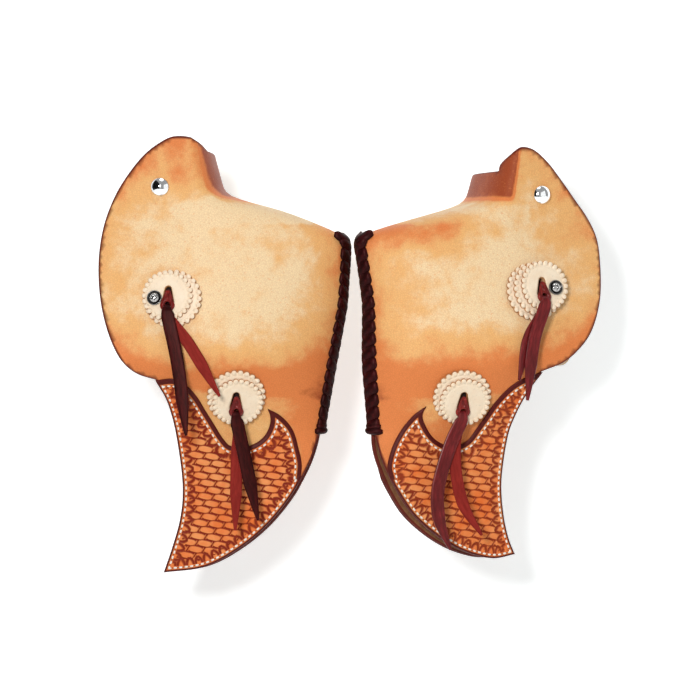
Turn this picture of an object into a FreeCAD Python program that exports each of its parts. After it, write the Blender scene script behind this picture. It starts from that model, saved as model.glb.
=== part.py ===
import FreeCAD, Part
import math
import os

from FreeCAD import Placement, Rotation, Vector

# A matched pair of western tapadero stirrups, seen from the decorated outer side of both.
# Each stirrup is modelled with its toe along +X, its outer side towards -Y and +Z up.
# The origin is the middle of the left stirrup's neck roller, where the stirrup leather hangs.
# The right stirrup is the mirror image, set beside the left one with its toe facing it.

# Driving dimensions in millimetres and degrees: alias, value, what it sets.
SIZES = [
    ("hood_length", 230.0, "rear edge of the hood to the toe, seen from the side"),
    ("hood_height", 407.0, "top of the neck to the tip of the wings"),
    ("hood_leather", 4.5, "thickness of the moulded hood leather"),
    ("tread_half_width", 68.0, "half the hood's width outside, at the tread"),
    ("pair_gap", 3.0, "left toe lacing to right toe lacing, seen from the front"),
    ("left_toe_turn", 8.0, "left stirrup turned, toe towards the viewer"),
    ("right_toe_turn", 25.0, "right stirrup turned, toe towards the viewer"),
    ("seat_gap", 0.3, "leather to what lies on it or inside it"),
    ("cut_overrun", 12.0, "how far a cutting form passes the piece it cuts"),
    ("bow_depth", 54.0, "stirrup bow, rear edge to front edge at the tread"),
    ("bow_neck_depth", 42.0, "stirrup bow, rear edge to front edge at the neck"),
    ("bow_arm", 9.5, "thickness of the bent wood arms"),
    ("bow_tread", 12.0, "thickness of the wood under the foot"),
    ("bow_above_bolt", 16.0, "arm ends above the neck bolt"),
    ("bow_tread_drop", 166.5, "neck bolt down to the underside of the tread"),
    ("bow_corner_radius", 18.0, "outside radius where arms turn into the tread"),
    ("tread_leather", 4.0, "leather sole glued on the tread"),
    ("bolt_radius", 4.75, "neck bolt, three eighths of an inch across"),
    ("bolt_clearance", 0.1, "bolt to the bores it passes through"),
    ("roller_radius", 11.0, "radius of the neck roller"),
    ("roller_end_gap", 0.4, "play between the roller and each arm"),
    ("dome_radius", 8.8, "chrome dome nut, radius of its head"),
    ("dome_height", 5.0, "chrome dome nut, height of its head"),
    ("dome_rim", 1.2, "straight rim under the dome"),
    ("dome_thread", 2.6, "how deep the bolt's end goes into the dome nut"),
    ("cup_radius", 7.0, "cup washer, outside radius"),
    ("cup_height", 2.4, "cup washer, height"),
    ("cup_lip", 1.0, "thickness of the rolled lip of the cup washer"),
    ("screw_head_radius", 4.4, "pan head of the hood screw"),
    ("screw_head_height", 3.2, "height of the pan head"),
    ("screw_radius", 2.2, "shank of the hood screw"),
    ("screw_grip", 7.0, "length of the screw in the wood"),
    ("rosette_leather", 3.0, "thickness of one rosette layer"),
    ("rosette_back_radius", 27.5, "back layer of a rosette, over its scallops"),
    ("rosette_middle_radius", 26.0, "middle layer, where a rosette has three"),
    ("rosette_front_radius", 24.0, "front layer of a rosette, over its scallops"),
    ("rosette_scallops", 26.0, "scallops round one layer"),
    ("scallop_depth", 2.2, "depth of the notch between two scallops"),
    ("rosette_fan", 2.2, "how far each layer is shifted from the next"),
    ("slot_length", 20.0, "string slot of a rosette, top to bottom"),
    ("slot_half_width", 5.2, "half width of the string slot at its foot"),
    ("slot_crown", 2.8, "radius of the string slot at its top"),
    ("slot_showing", 3.4, "slot left open above the knot"),
    ("string_width", 12.5, "latigo string, half an inch wide"),
    ("string_thickness", 2.4, "thickness of the latigo string"),
    ("string_point", 34.0, "length of the pointed end of a string"),
    ("string_tip", 2.0, "width left at the very end of a string"),
    ("knot_thickness", 2.8, "thickness of the string round the slit of its knot"),
    ("knot_length", 21.0, "bleed knot, top to bottom"),
    ("knot_half_width", 6.2, "half width of the bleed knot"),
    ("knot_eye", 2.6, "radius of the slit that the string passes through"),
    ("shank_half_width", 3.6, "half width of the string where it passes the leather"),
    ("shank_height", 5.0, "height of the string where it passes the leather"),
    ("shank_drop", 2.0, "string passes the leather this far below the slot's middle"),
    ("overlay_leather", 2.6, "thickness of the stamped overlay"),
    ("lace_stand", 2.6, "how far the edge lacing stands off the leather"),
    ("lace_width", 10.0, "edge lacing seen from the side"),
    ("lace_pitch", 12.2, "distance between two turns of the lacing"),
    ("lace_scallop", 1.8, "how far each turn of lace bulges past the last"),
]

# Shares of the hood: how far forward of the rear edge, and how far above the wing tips.
NECK_SHARE = (0.248, 0.884)

# Sections of the moulded hood, from above the neck down to below the wing tips. Each row holds
# height share, half width as a share of the tread's, nose share, share up to which the sides
# run parallel, and how square the nose is (2 is an ellipse, 1 a straight V).
SECTION_SHARES = {
    "left": [
        (1.071, 0.603, 0.417, 0.337, 2.3),
        (0.966, 0.610, 0.433, 0.353, 2.3),
        (0.863, 0.625, 0.484, 0.377, 2.3),
        (0.836, 0.654, 0.706, 0.369, 1.9),
        (0.774, 0.721, 0.980, 0.369, 1.5),
        (0.712, 0.794, 0.984, 0.369, 1.5),
        (0.616, 0.897, 0.975, 0.369, 1.5),
        (0.523, 0.993, 0.945, 0.369, 1.5),
        (0.479, 1.000, 0.930, 0.369, 1.5),
        (0.329, 0.460, 0.882, 0.369, 1.6),
        (0.292, 0.415, 0.912, 0.369, 1.6),
        (0.215, 0.330, 0.893, 0.369, 1.7),
        (-0.059, 0.120, 0.853, 0.369, 1.8),
    ],
    "right": [
        (1.043, 0.603, 0.405, 0.337, 2.3),
        (0.938, 0.610, 0.432, 0.353, 2.3),
        (0.847, 0.632, 0.484, 0.377, 2.3),
        (0.822, 0.664, 0.671, 0.369, 1.9),
        (0.774, 0.721, 0.980, 0.369, 1.5),
        (0.712, 0.794, 0.967, 0.369, 1.5),
        (0.616, 0.897, 0.945, 0.369, 1.5),
        (0.523, 0.993, 0.947, 0.369, 1.5),
        (0.479, 1.000, 0.947, 0.369, 1.5),
        (0.329, 0.460, 0.923, 0.369, 1.6),
        (0.292, 0.415, 0.958, 0.369, 1.6),
        (0.215, 0.330, 0.938, 0.369, 1.7),
        (-0.059, 0.120, 0.900, 0.369, 1.8),
    ],
}
# Rows at or above this height share belong to the folded roof, which lies flatter.
ROOF_SHARE = 0.78
# Height shares at which the wings begin and the lacing ends.
WING_SHARE, LACE_END_SHARE = 0.479, 0.30
# Directions in degrees from straight ahead that the flat facets of every section face. Facets of
# neighbouring sections are parallel, so each panel of the hood between two sections is flat.
FACINGS = (0, 30, 50, 62, 71, 78, 84, 90)
# Rings that round off a dome nut, sides of a screw's hole and of the knot's slit, steps round a
# slot's end and round the bend of the bow.
DOME_RINGS, HOLE_SIDES, SLIT_SIDES, SLOT_STEPS, CORNER_STEPS = 2, 12, 8, 4, 6
# The nose moves this many times as far as the sides when the surface is moved outwards.
NOSE_OFFSET_RATIO = 1.4

# Side outlines as (length share, height share), each stretch a smooth curve between corners.
OUTLINE_SHARES = {
    "left": {
        "neck_front": [(0.377, 0.998), (0.412, 0.984), (0.435, 0.968)],
        "rear": [(0.377, 0.998), (0.333, 1.001), (0.292, 0.999), (0.239, 0.984),
                 (0.182, 0.959), (0.121, 0.918), (0.061, 0.863), (0.019, 0.795),
                 (0.003, 0.712), (0.019, 0.616), (0.063, 0.534), (0.117, 0.479),
                 (0.170, 0.455), (0.241, 0.442)],
        "wing_rear": [(0.241, 0.442), (0.279, 0.397), (0.307, 0.315), (0.327, 0.192),
                      (0.313, 0.123), (0.279, 0.059), (0.241, 0.000)],
        "wing_front": [(0.241, 0.000), (0.412, 0.014), (0.550, 0.055), (0.668, 0.110),
                       (0.766, 0.178), (0.835, 0.247), (0.872, 0.306)],
        "overlay_notch": [(0.242, 0.440), (0.319, 0.443), (0.369, 0.427), (0.402, 0.406),
                          (0.447, 0.358), (0.498, 0.308), (0.526, 0.292), (0.591, 0.290),
                          (0.653, 0.308), (0.683, 0.333), (0.691, 0.356), (0.682, 0.376)],
        "overlay_front": [(0.682, 0.376), (0.729, 0.361), (0.776, 0.329), (0.799, 0.285),
                          (0.810, 0.251), (0.806, 0.218)],
    },
    "right": {
        "neck_front": [(0.384, 0.969), (0.417, 0.955), (0.443, 0.936)],
        "rear": [(0.384, 0.969), (0.350, 0.975), (0.322, 0.976), (0.277, 0.970),
                 (0.216, 0.943), (0.159, 0.905), (0.102, 0.863), (0.047, 0.819),
                 (0.010, 0.771), (0.003, 0.712), (0.018, 0.626), (0.069, 0.553),
                 (0.140, 0.507), (0.203, 0.481), (0.291, 0.461)],
        "wing_rear": [(0.291, 0.461), (0.322, 0.429), (0.350, 0.390), (0.372, 0.333),
                      (0.387, 0.256), (0.387, 0.192), (0.366, 0.123), (0.338, 0.075),
                      (0.309, 0.043)],
        "wing_front": [(0.309, 0.043), (0.400, 0.034), (0.491, 0.043), (0.580, 0.062),
                       (0.674, 0.094), (0.763, 0.137), (0.829, 0.189), (0.893, 0.262),
                       (0.912, 0.306)],
        "overlay_notch": [(0.291, 0.459), (0.374, 0.443), (0.418, 0.425), (0.462, 0.393),
                          (0.503, 0.345), (0.548, 0.306), (0.582, 0.295), (0.626, 0.292),
                          (0.686, 0.308), (0.723, 0.333), (0.747, 0.361), (0.739, 0.382)],
        "overlay_front": [(0.739, 0.382), (0.777, 0.365), (0.823, 0.329), (0.857, 0.290),
                          (0.873, 0.244), (0.862, 0.220)],
    },
}
# Where the nose wall of the neck ends, and how far past the toe the outline stays clear.
NECK_WALL_SHARES = {"left": 0.966, "right": 0.919}
ROOF_CLEAR_SHARES = [(0.560, 0.966), (1.060, 0.880)]

# Places on each side as (length share, height share).
PLACE_SHARES = {
    "left": {"bolt": (0.248, 0.884), "screw": (0.244, 0.627), "upper_rosette": (0.305, 0.630),
             "upper_slot": (0.298, 0.630), "lower_rosette": (0.562, 0.403),
             "lower_slot": (0.558, 0.398)},
    "right": {"bolt": (0.248, 0.866), "screw": (0.243, 0.649), "upper_rosette": (0.307, 0.648),
              "upper_slot": (0.298, 0.648), "lower_rosette": (0.600, 0.403),
              "lower_slot": (0.600, 0.398)},
}
ROSETTE_LAYERS = {"left_upper": ["back", "front"], "left_lower": ["back", "front"],
                  "right_upper": ["back", "middle", "front"], "right_lower": ["back", "front"]}
# Which way the back layers peep out, as shares of the fan to the toe and upwards.
FAN_SHARES = {"left_upper": (1.0, -0.5), "left_lower": (-0.3, 0.9),
              "right_upper": (1.0, -0.5), "right_lower": (0.5, 0.9)}

# Middle lines of the string tails as (length share, height share), below the knot.
STRING_SHARES = {
    "left_upper_near": [(0.345, 0.480), (0.380, 0.317)],
    "left_upper_far": [(0.400, 0.515), (0.514, 0.406)],
    "left_lower_near": [(0.600, 0.255), (0.648, 0.123)],
    "left_lower_far": [(0.553, 0.245), (0.556, 0.100)],
    "right_upper_near": [(0.355, 0.540), (0.389, 0.397)],
    "right_upper_far": [(0.380, 0.535), (0.420, 0.443)],
    "right_lower_near": [(0.652, 0.300), (0.705, 0.190), (0.698, 0.125), (0.655, 0.058)],
    "right_lower_far": [(0.630, 0.285), (0.600, 0.165), (0.523, 0.090)],
}

doc = FreeCAD.newDocument("tapadero_stirrups")
sheet = doc.addObject("Spreadsheet::Sheet", "sizes")
for row_number, (alias, value, note) in enumerate(SIZES, 1):
    sheet.set(f"A{row_number}", alias)
    sheet.set(f"B{row_number}", str(value))
    sheet.set(f"C{row_number}", note)
    sheet.setAlias(f"B{row_number}", alias)
doc.recompute()

X_AXIS, Y_AXIS, Z_AXIS = Vector(1, 0, 0), Vector(0, 1, 0), Vector(0, 0, 1)
ORIGIN = Vector(0, 0, 0)


def size(alias):
    return float(sheet.get(alias))


def bind(obj, **expressions):
    for prop, expression in expressions.items():
        obj.setExpression(prop.replace("__", "."), expression)
    return obj


def place(share):
    """Turns a share pair into x and z from the middle of the neck."""
    return ((share[0] - NECK_SHARE[0]) * size("hood_length"),
            (share[1] - NECK_SHARE[1]) * size("hood_height"))


def feature(name, shape):
    obj = doc.addObject("Part::Feature", name)
    obj.Shape = shape
    return obj


def boolean(kind, name, base, tool):
    obj = doc.addObject(kind, name)
    obj.Base, obj.Tool = base, tool
    return obj


def cut(name, base, *tools):
    for number, tool in enumerate(tools):
        base = boolean("Part::Cut", f"{name}_{number}" if number < len(tools) - 1 else name,
                       base, tool)
    return base


def common(name, base, tool):
    return boolean("Part::Common", name, base, tool)


def compound(name, *parts):
    obj = doc.addObject("Part::Compound", name)
    obj.Links = list(parts)
    return obj


# The moulded surface


def facet_reach(half, nose_x, straight_x, squareness, facing):
    """How far the section's superellipse reaches in a direction, in degrees from straight ahead."""
    ahead, aside = math.cos(math.radians(facing)), math.sin(math.radians(facing))
    power = squareness / (squareness - 1)
    return straight_x * ahead + (((nose_x - straight_x) * ahead) ** power
                                 + (half * aside) ** power) ** (1 / power)


def section_rows(side, offset):
    """Height and facet reaches of each section, the surface moved outwards by offset."""
    rows = []
    for height, half, nose, straight, squareness in SECTION_SHARES[side]:
        nose_x, z = place((nose, height))
        straight_x, z = place((straight, height))
        shape = (half * size("tread_half_width") + offset, nose_x + NOSE_OFFSET_RATIO * offset,
                 straight_x, squareness)
        rows.append((z + (offset if height > ROOF_SHARE else 0),
                     [facet_reach(*shape, facing) for facing in FACINGS]))
    return rows


def half_width(side, x, z, offset=0.0):
    """Half width of the moulded surface at a place seen from the side."""
    rows = section_rows(side, offset)
    above, below = next((a, b) for a, b in zip(rows, rows[1:]) if a[0] >= z >= b[0])
    mix = (above[0] - z) / (above[0] - below[0])
    halves = []
    for number, facing in enumerate(FACINGS[1:], 1):
        reach = above[1][number] + (below[1][number] - above[1][number]) * mix
        angle = math.radians(facing)
        halves.append((reach - x * math.cos(angle)) / math.sin(angle))
    return min(halves)


def section_points(row, rear_x):
    """A section's corners: facets from the nose to both sides, square at the rear."""
    z, reaches = row
    corners = []
    for one, two, reach, other in zip(FACINGS, FACINGS[1:], reaches, reaches[1:]):
        a, b = math.radians(one), math.radians(two)
        corners.append(((reach * math.sin(b) - other * math.sin(a)) / math.sin(b - a),
                        (other * math.cos(a) - reach * math.cos(b)) / math.sin(b - a)))
    corners.append((rear_x, reaches[-1]))
    points = [Vector(x, -y, z) for x, y in reversed(corners)]
    return points + [Vector(x, y, z) for x, y in corners]


def flat_face(points):
    return Part.Face(Part.makePolygon(points + points[:1]))


def moulded_form(name, rows, rear):
    """A closed form bounded by the hood's surface, reaching back by rear."""
    rings = [section_points(row, -rear) for row in rows]
    faces = [flat_face(rings[0]), flat_face(rings[-1])]
    for upper, lower in zip(rings, rings[1:]):
        for number, corner in enumerate(upper):
            after = (number + 1) % len(upper)
            faces.append(flat_face([corner, upper[after], lower[after], lower[number]]))
    shell = Part.Shell(faces)
    return feature(name, Part.Solid(shell))


# Outlines seen from the side


def curve_edge(shares):
    points = [Vector(x, 0, z) for x, z in map(place, shares)]
    if len(points) == 2:
        return Part.makeLine(*points)
    curve = Part.BSplineCurve()
    curve.interpolate(Points=points)
    return curve.toShape()


def line_edges(points):
    return [Part.makeLine(Vector(a[0], 0, a[1]), Vector(b[0], 0, b[1]))
            for a, b in zip(points, points[1:])]


def outline_prism(name, edges, reach, both_sides=True):
    """A prism across the stirrup with the given outline, on the outer side or on both."""
    wire = feature(f"{name}_outline", Part.Wire(Part.__sortEdges__(edges)))
    prism = doc.addObject("Part::Extrusion", name)
    prism.Base = wire
    prism.DirMode, prism.Dir = "Custom", -Y_AXIS
    prism.Solid = True
    prism.LengthFwd = reach
    prism.LengthRev = reach if both_sides else 0
    return prism


def hood_outline(side, reach):
    shares = OUTLINE_SHARES[side]
    neck_end = shares["neck_front"][-1]
    wall_top = (neck_end[0], NECK_WALL_SHARES[side])
    front = shares["wing_front"][-1]
    clear = [front, (ROOF_CLEAR_SHARES[1][0], front[1]), ROOF_CLEAR_SHARES[1],
             (ROOF_CLEAR_SHARES[0][0], wall_top[1]), wall_top, neck_end]
    edges = [curve_edge(shares[part]) for part in ("neck_front", "rear", "wing_rear", "wing_front")]
    edges += line_edges([place(share) for share in clear])
    return outline_prism(f"{side}_hood_side", edges, reach)


def across(name, x, z, radius_alias, extra_alias, reach):
    """A drill across the whole stirrup along Y."""
    drill = doc.addObject("Part::Cylinder", name)
    bind(drill, Radius=f"sizes.{radius_alias} + sizes.{extra_alias}")
    drill.Height = 2 * reach
    drill.Placement = Placement(Vector(x, reach, z), Rotation(X_AXIS, 90))
    return drill


def screw_hole(name, height_expression):
    """A many-sided hole that clears the shank of a hood screw."""
    drill = doc.addObject("Part::Prism", name)
    drill.Polygon = HOLE_SIDES
    return bind(drill, Height=height_expression, Circumradius="(sizes.screw_radius"
                f" + sizes.bolt_clearance) / cos(180 deg / {HOLE_SIDES})")


# Flat pieces lying on the panel


def panel_frame(side, share, lift):
    """Placement whose Z points out of the outer panel and whose X points to the toe."""
    x, z = place(share)
    step = size("hood_leather")
    here = Vector(x, -half_width(side, x, z), z)
    fore = Vector(x + step, -half_width(side, x + step, z), z) - here
    up = Vector(x, -half_width(side, x, z + step), z + step) - here
    normal = fore.cross(up)
    normal.normalize()
    if normal.y > 0:
        normal = -normal
    turn = Rotation(fore, normal.cross(fore), normal, "ZXY")
    return Placement(here + normal * lift, turn)


def scalloped_outline(radius, count):
    points = []
    for number in range(int(count)):
        for part_share, depth in ((0.0, 1.0), (0.25, 0.0), (0.75, 0.0)):
            angle = math.tau * (number + part_share) / count
            reach = radius - depth * size("scallop_depth")
            points.append(Vector(reach * math.cos(angle), reach * math.sin(angle), 0))
    return Part.makePolygon(points + points[:1])


def slot_outline(long, half, crown, lower):
    """A teardrop with its small round end up, from lower up to lower plus long."""
    points = []
    for middle, radius, first in ((lower + long - crown, crown, 0), (lower + half, half, 180)):
        for step in range(SLOT_STEPS + 1):
            angle = math.radians(first + 180 * step / SLOT_STEPS)
            points.append(Vector(radius * math.cos(angle), middle + radius * math.sin(angle), 0))
    return Part.makePolygon(points + points[:1])


def slab(name, wire, thickness_expression):
    """A flat plate on the XY plane, as thick as the expression says."""
    base = feature(f"{name}_outline", wire)
    plate = doc.addObject("Part::Extrusion", name)
    plate.Base = base
    plate.DirMode, plate.Dir = "Custom", Z_AXIS
    plate.Solid = True
    return bind(plate, LengthFwd=thickness_expression)


def stack_height(side, level):
    layers = len(ROSETTE_LAYERS[f"{side}_{level}"])
    return layers * (size("rosette_leather") + size("seat_gap"))


def make_rosettes(side, level):
    key = f"{side}_{level}"
    layers = ROSETTE_LAYERS[key]
    share = PLACE_SHARES[side][f"{level}_rosette"]
    slot_share = PLACE_SHARES[side][f"{level}_slot"]
    centre_x, centre_z = place(share)
    slot_x, slot_z = place(slot_share)
    screw_x, screw_z = place(PLACE_SHARES[side]["screw"])
    made = {}
    for number, layer in enumerate(layers):
        name = f"{key}_rosette_{layer}"
        lift = size("seat_gap") + number * (size("rosette_leather") + size("seat_gap"))
        shift = size("rosette_fan") * (len(layers) - 1 - 2 * number)
        radius = size(f"rosette_{layer}_radius")
        disc = slab(f"{name}_disc", scalloped_outline(radius, size("rosette_scallops")),
                    "sizes.rosette_leather")
        toward, upward = FAN_SHARES[key]
        disc.Placement = Placement(Vector(shift * toward, shift * upward, 0), Rotation())
        slot = slab(f"{name}_slot", slot_outline(size("slot_length"), size("slot_half_width"),
                                                 size("slot_crown"), -size("slot_length") / 2),
                    "sizes.rosette_leather + 2 * sizes.cut_overrun")
        slot.Placement = Placement(Vector(slot_x - centre_x, slot_z - centre_z,
                                          -size("cut_overrun")), Rotation())
        tools = [slot]
        if level == "upper":
            drill = screw_hole(f"{name}_screw_hole",
                               "sizes.rosette_leather + 2 * sizes.cut_overrun")
            drill.Placement = Placement(Vector(screw_x - centre_x, screw_z - centre_z,
                                               -size("cut_overrun")), Rotation())
            tools.append(drill)
        body = cut(name, disc, *tools)
        body.Placement = panel_frame(side, share, lift)
        made[name] = body
    return made


# Turned pieces: a closed profile of (radius, height) points spun round its own Z axis


def turned(name, profile):
    points = [Vector(radius, 0, z) for radius, z in profile]
    outline = feature(f"{name}_profile", Part.makePolygon(points + points[:1]))
    spun = doc.addObject("Part::Revolution", name)
    spun.Source = outline
    spun.Axis, spun.Angle, spun.Solid = Z_AXIS, 360, True
    return spun


print("outlines ready")


def screw_frames(side):
    """Placements of the outer and the inner screw, on the hood and pointing out of it."""
    outer = panel_frame(side, PLACE_SHARES[side]["screw"], 0)
    spot = Vector(outer.Base.x, -outer.Base.y, outer.Base.z)
    return {"outer": outer, "inner": Placement(spot, mirrored_turn(outer.Rotation))}


def screw_drills(side, name):
    """Drills for the two screws, through the hood and as deep as they go in the wood."""
    drills = []
    for word, frame in screw_frames(side).items():
        drill = screw_hole(f"{name}_{word}_screw_hole",
                           "sizes.hood_leather + sizes.screw_grip + sizes.cut_overrun")
        depth = size("hood_leather") + size("screw_grip")
        drill.Placement = frame.multiply(Placement(Z_AXIS * -depth, Rotation()))
        drills.append(drill)
    return drills


def outward(y_out, x, z, outer=True):
    """Placement with its own Z along the outer side's -Y, or along +Y for the inner side."""
    if outer:
        return Placement(Vector(x, -y_out, z), Rotation(X_AXIS, 90))
    return Placement(Vector(x, y_out, z), Rotation(X_AXIS, -90))


def make_hood(side, reach):
    outer = moulded_form(f"{side}_hood_outside", section_rows(side, 0), size("hood_length"))
    rows = section_rows(side, -size("hood_leather"))
    rows[0] = (rows[0][0] + size("hood_leather") + size("cut_overrun"), rows[0][1])
    rows[-1] = (rows[-1][0] - size("cut_overrun"), rows[-1][1])
    inner = moulded_form(f"{side}_hood_inside", rows, size("hood_length") + size("cut_overrun"))
    shell = cut(f"{side}_hood_shell", outer, inner)
    trimmed = common(f"{side}_hood_trimmed", shell, hood_outline(side, reach))
    bolt_x, bolt_z = place(PLACE_SHARES[side]["bolt"])
    tools = [across(f"{side}_hood_bolt_hole", bolt_x, bolt_z, "bolt_radius",
                    "bolt_clearance", reach)]
    tools += screw_drills(side, f"{side}_hood")
    for level in ("upper", "lower"):
        box = doc.addObject("Part::Box", f"{side}_{level}_string_slit")
        bind(box, Length="2 * (sizes.shank_half_width + sizes.seat_gap)",
             Width="sizes.shank_height + 2 * sizes.seat_gap", Height="2 * sizes.cut_overrun")
        corner = Vector(-size("shank_half_width") - size("seat_gap"),
                        -size("shank_height") / 2 - size("shank_drop") - size("seat_gap"),
                        -stack_height(side, level) - size("cut_overrun"))
        box.Placement = knot_base(side, level).multiply(Placement(corner, Rotation()))
        tools.append(box)
    return {f"{side}_hood": cut(f"{side}_hood", trimmed, *tools)}


def inner_wall(side, z):
    """Half width inside the hood beside the stirrup bow, less the seat gap."""
    x, unused = place(NECK_SHARE)
    return half_width(side, x, z, -size("hood_leather")) - size("seat_gap")


def corner_points(middle_y, middle_z, radius):
    """The bow's bend from upright to level, without its two ends that the arms share."""
    points = []
    for step in range(1, CORNER_STEPS + 1):
        angle = math.radians(90 * step / CORNER_STEPS)
        points.append((middle_y + radius * math.cos(angle), middle_z - radius * math.sin(angle)))
    return points


def make_bow(side):
    """The bent wood bow: two arms joined by the tread, open at the top."""
    bolt_x, bolt_z = place(PLACE_SHARES[side]["bolt"])
    top = bolt_z + size("bow_above_bolt")
    bottom = -size("bow_tread_drop")
    radius = size("bow_corner_radius")
    corner = bottom + radius
    breaks = [row[0] for row in section_rows(side, -size("hood_leather"))
              if corner < row[0] < top]
    heights = [top] + breaks + [corner]
    outside = [(inner_wall(side, z), z) for z in heights]
    foot = outside[-1][0] - radius
    arm, floor = size("bow_arm"), bottom + size("bow_tread")
    seat = floor + radius - arm
    inside = [(y - arm, z) for y, z in outside if z > seat] + [(outside[-1][0] - arm, seat)]
    half = (corner_points(foot, seat, radius - arm)[::-1] + inside[::-1] + outside
            + corner_points(foot, corner, radius))
    loop = half + [(-y, z) for y, z in reversed(half)]
    outline = feature(f"{side}_bow_profile",
                      Part.makePolygon([Vector(0, y, z) for y, z in loop + loop[:1]]))
    blank = doc.addObject("Part::Extrusion", f"{side}_bow_blank")
    blank.Base = outline
    blank.DirMode, blank.Dir, blank.Solid = "Custom", X_AXIS, True
    bind(blank, LengthFwd="sizes.bow_depth / 2", LengthRev="sizes.bow_depth / 2")

    # The arms narrow towards the neck, which the side view of the bow gives.
    neck, tread = size("bow_neck_depth") / 2, size("bow_depth") / 2
    middle = (bolt_z + bottom) / 2
    side_points = [(-neck, top), (neck, top), (tread, middle), (tread, bottom), (-tread, bottom),
                   (-tread, middle), (-neck, top)]
    side_view = outline_prism(f"{side}_bow_side", line_edges(side_points), outside[-1][0] * 2)
    tapered = common(f"{side}_bow_tapered", blank, side_view)
    tools = [across(f"{side}_bow_bolt_hole", bolt_x, bolt_z, "bolt_radius", "bolt_clearance",
                    size("tread_half_width"))]
    tools += screw_drills(side, f"{side}_bow")
    made = {f"{side}_stirrup_bow": cut(f"{side}_stirrup_bow", tapered, *tools)}

    leather = doc.addObject("Part::Box", f"{side}_tread_leather")
    bind(leather, Length="sizes.bow_depth", Height="sizes.tread_leather")
    leather.Width = 2 * foot
    leather.Placement = Placement(Vector(-tread, -foot, floor), Rotation())
    made[f"{side}_tread_leather"] = leather
    return made


def make_neck(side):
    bolt_x, bolt_z = place(PLACE_SHARES[side]["bolt"])
    wall = max(half_width(side, bolt_x, bolt_z + way * size("dome_radius"))
               for way in (-1, 0, 1))
    arm_face = min(inner_wall(side, bolt_z + way * size("roller_radius"))
                   for way in (-1, 0, 1)) - size("bow_arm")
    radius, gap = size("bolt_radius"), size("bolt_clearance")
    made = {}

    # The dome nut caps the bolt from each side, the bolt's end deep in it.
    head, rim, thread = size("dome_radius"), size("dome_rim"), size("dome_thread")
    seat = size("seat_gap")
    sag = size("dome_height") - rim
    ball = (head ** 2 + sag ** 2) / (2 * sag)
    crown = [(ball * math.sin(angle), rim + sag - ball + ball * math.cos(angle))
             for angle in (math.asin(head / ball) * number / DOME_RINGS
                           for number in range(1, DOME_RINGS))]
    nuts = []
    for outer in (True, False):
        name = f"{side}_dome_nut_{'outer' if outer else 'inner'}"
        bore = radius + gap
        profile = [(0, thread), (0, rim + sag)] + crown + [(head, rim), (head, 0),
                   (bore, 0), (bore, thread)]
        nut = turned(name, profile)
        nut.Placement = outward(wall + seat, bolt_x, bolt_z, outer)
        nuts.append(nut)
    made[f"{side}_dome_nuts"] = compound(f"{side}_dome_nuts", *nuts)

    half_bolt = wall + seat + thread - gap
    bolt = doc.addObject("Part::Cylinder", f"{side}_neck_bolt")
    bind(bolt, Radius="sizes.bolt_radius")
    bolt.Height = 2 * half_bolt
    bolt.Placement = Placement(Vector(bolt_x, half_bolt, bolt_z), Rotation(X_AXIS, 90))
    made[f"{side}_neck_bolt"] = bolt

    half_roller = arm_face - size("roller_end_gap")
    roller = turned(f"{side}_neck_roller",
                    [(radius + gap, -half_roller), (size("roller_radius"), -half_roller),
                     (size("roller_radius"), half_roller), (radius + gap, half_roller)])
    roller.Placement = outward(0, bolt_x, bolt_z)
    made[f"{side}_neck_roller"] = roller
    return made


def make_screws(side):
    """A cup washer and a pan head screw through the hood into each arm of the bow."""
    cups, screws = [], []
    for word, frame in screw_frames(side).items():
        lift = (stack_height(side, "upper") if word == "outer" else 0) + size("seat_gap")
        grip = lift + size("hood_leather") + size("screw_grip") - size("seat_gap")
        radius, hole = size("screw_radius"), size("screw_radius") + size("bolt_clearance")
        cup, height, lip = size("cup_radius"), size("cup_height"), size("cup_lip")
        ring = turned(f"{side}_cup_{word}",
                      [(hole, 0), (cup, 0), (cup, height - lip / 2), (cup - lip / 2, height),
                       (cup - 2 * lip, lip), (hole, lip)])
        head, tall = size("screw_head_radius"), size("screw_head_height")
        seat = lip + size("bolt_clearance")
        screw = turned(f"{side}_screw_{word}",
                       [(0, -grip), (radius, -grip + radius), (radius, seat), (head, seat),
                        (head, seat + tall / 3), (0, seat + tall)])
        for piece, group in ((ring, cups), (screw, screws)):
            piece.Placement = frame.multiply(Placement(Z_AXIS * lift, Rotation()))
            group.append(piece)
    return {f"{side}_cup_washers": compound(f"{side}_cup_washers", *cups),
            f"{side}_hood_screws": compound(f"{side}_hood_screws", *screws)}


def mirrored_turn(turn):
    """The same turn seen on the inner side: its Z axis mirrored in the XZ plane."""
    normal = turn.multVec(Z_AXIS)
    normal.y = -normal.y
    fore = turn.multVec(X_AXIS)
    fore.y = -fore.y
    return Rotation(fore, normal.cross(fore), normal, "ZXY")


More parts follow.
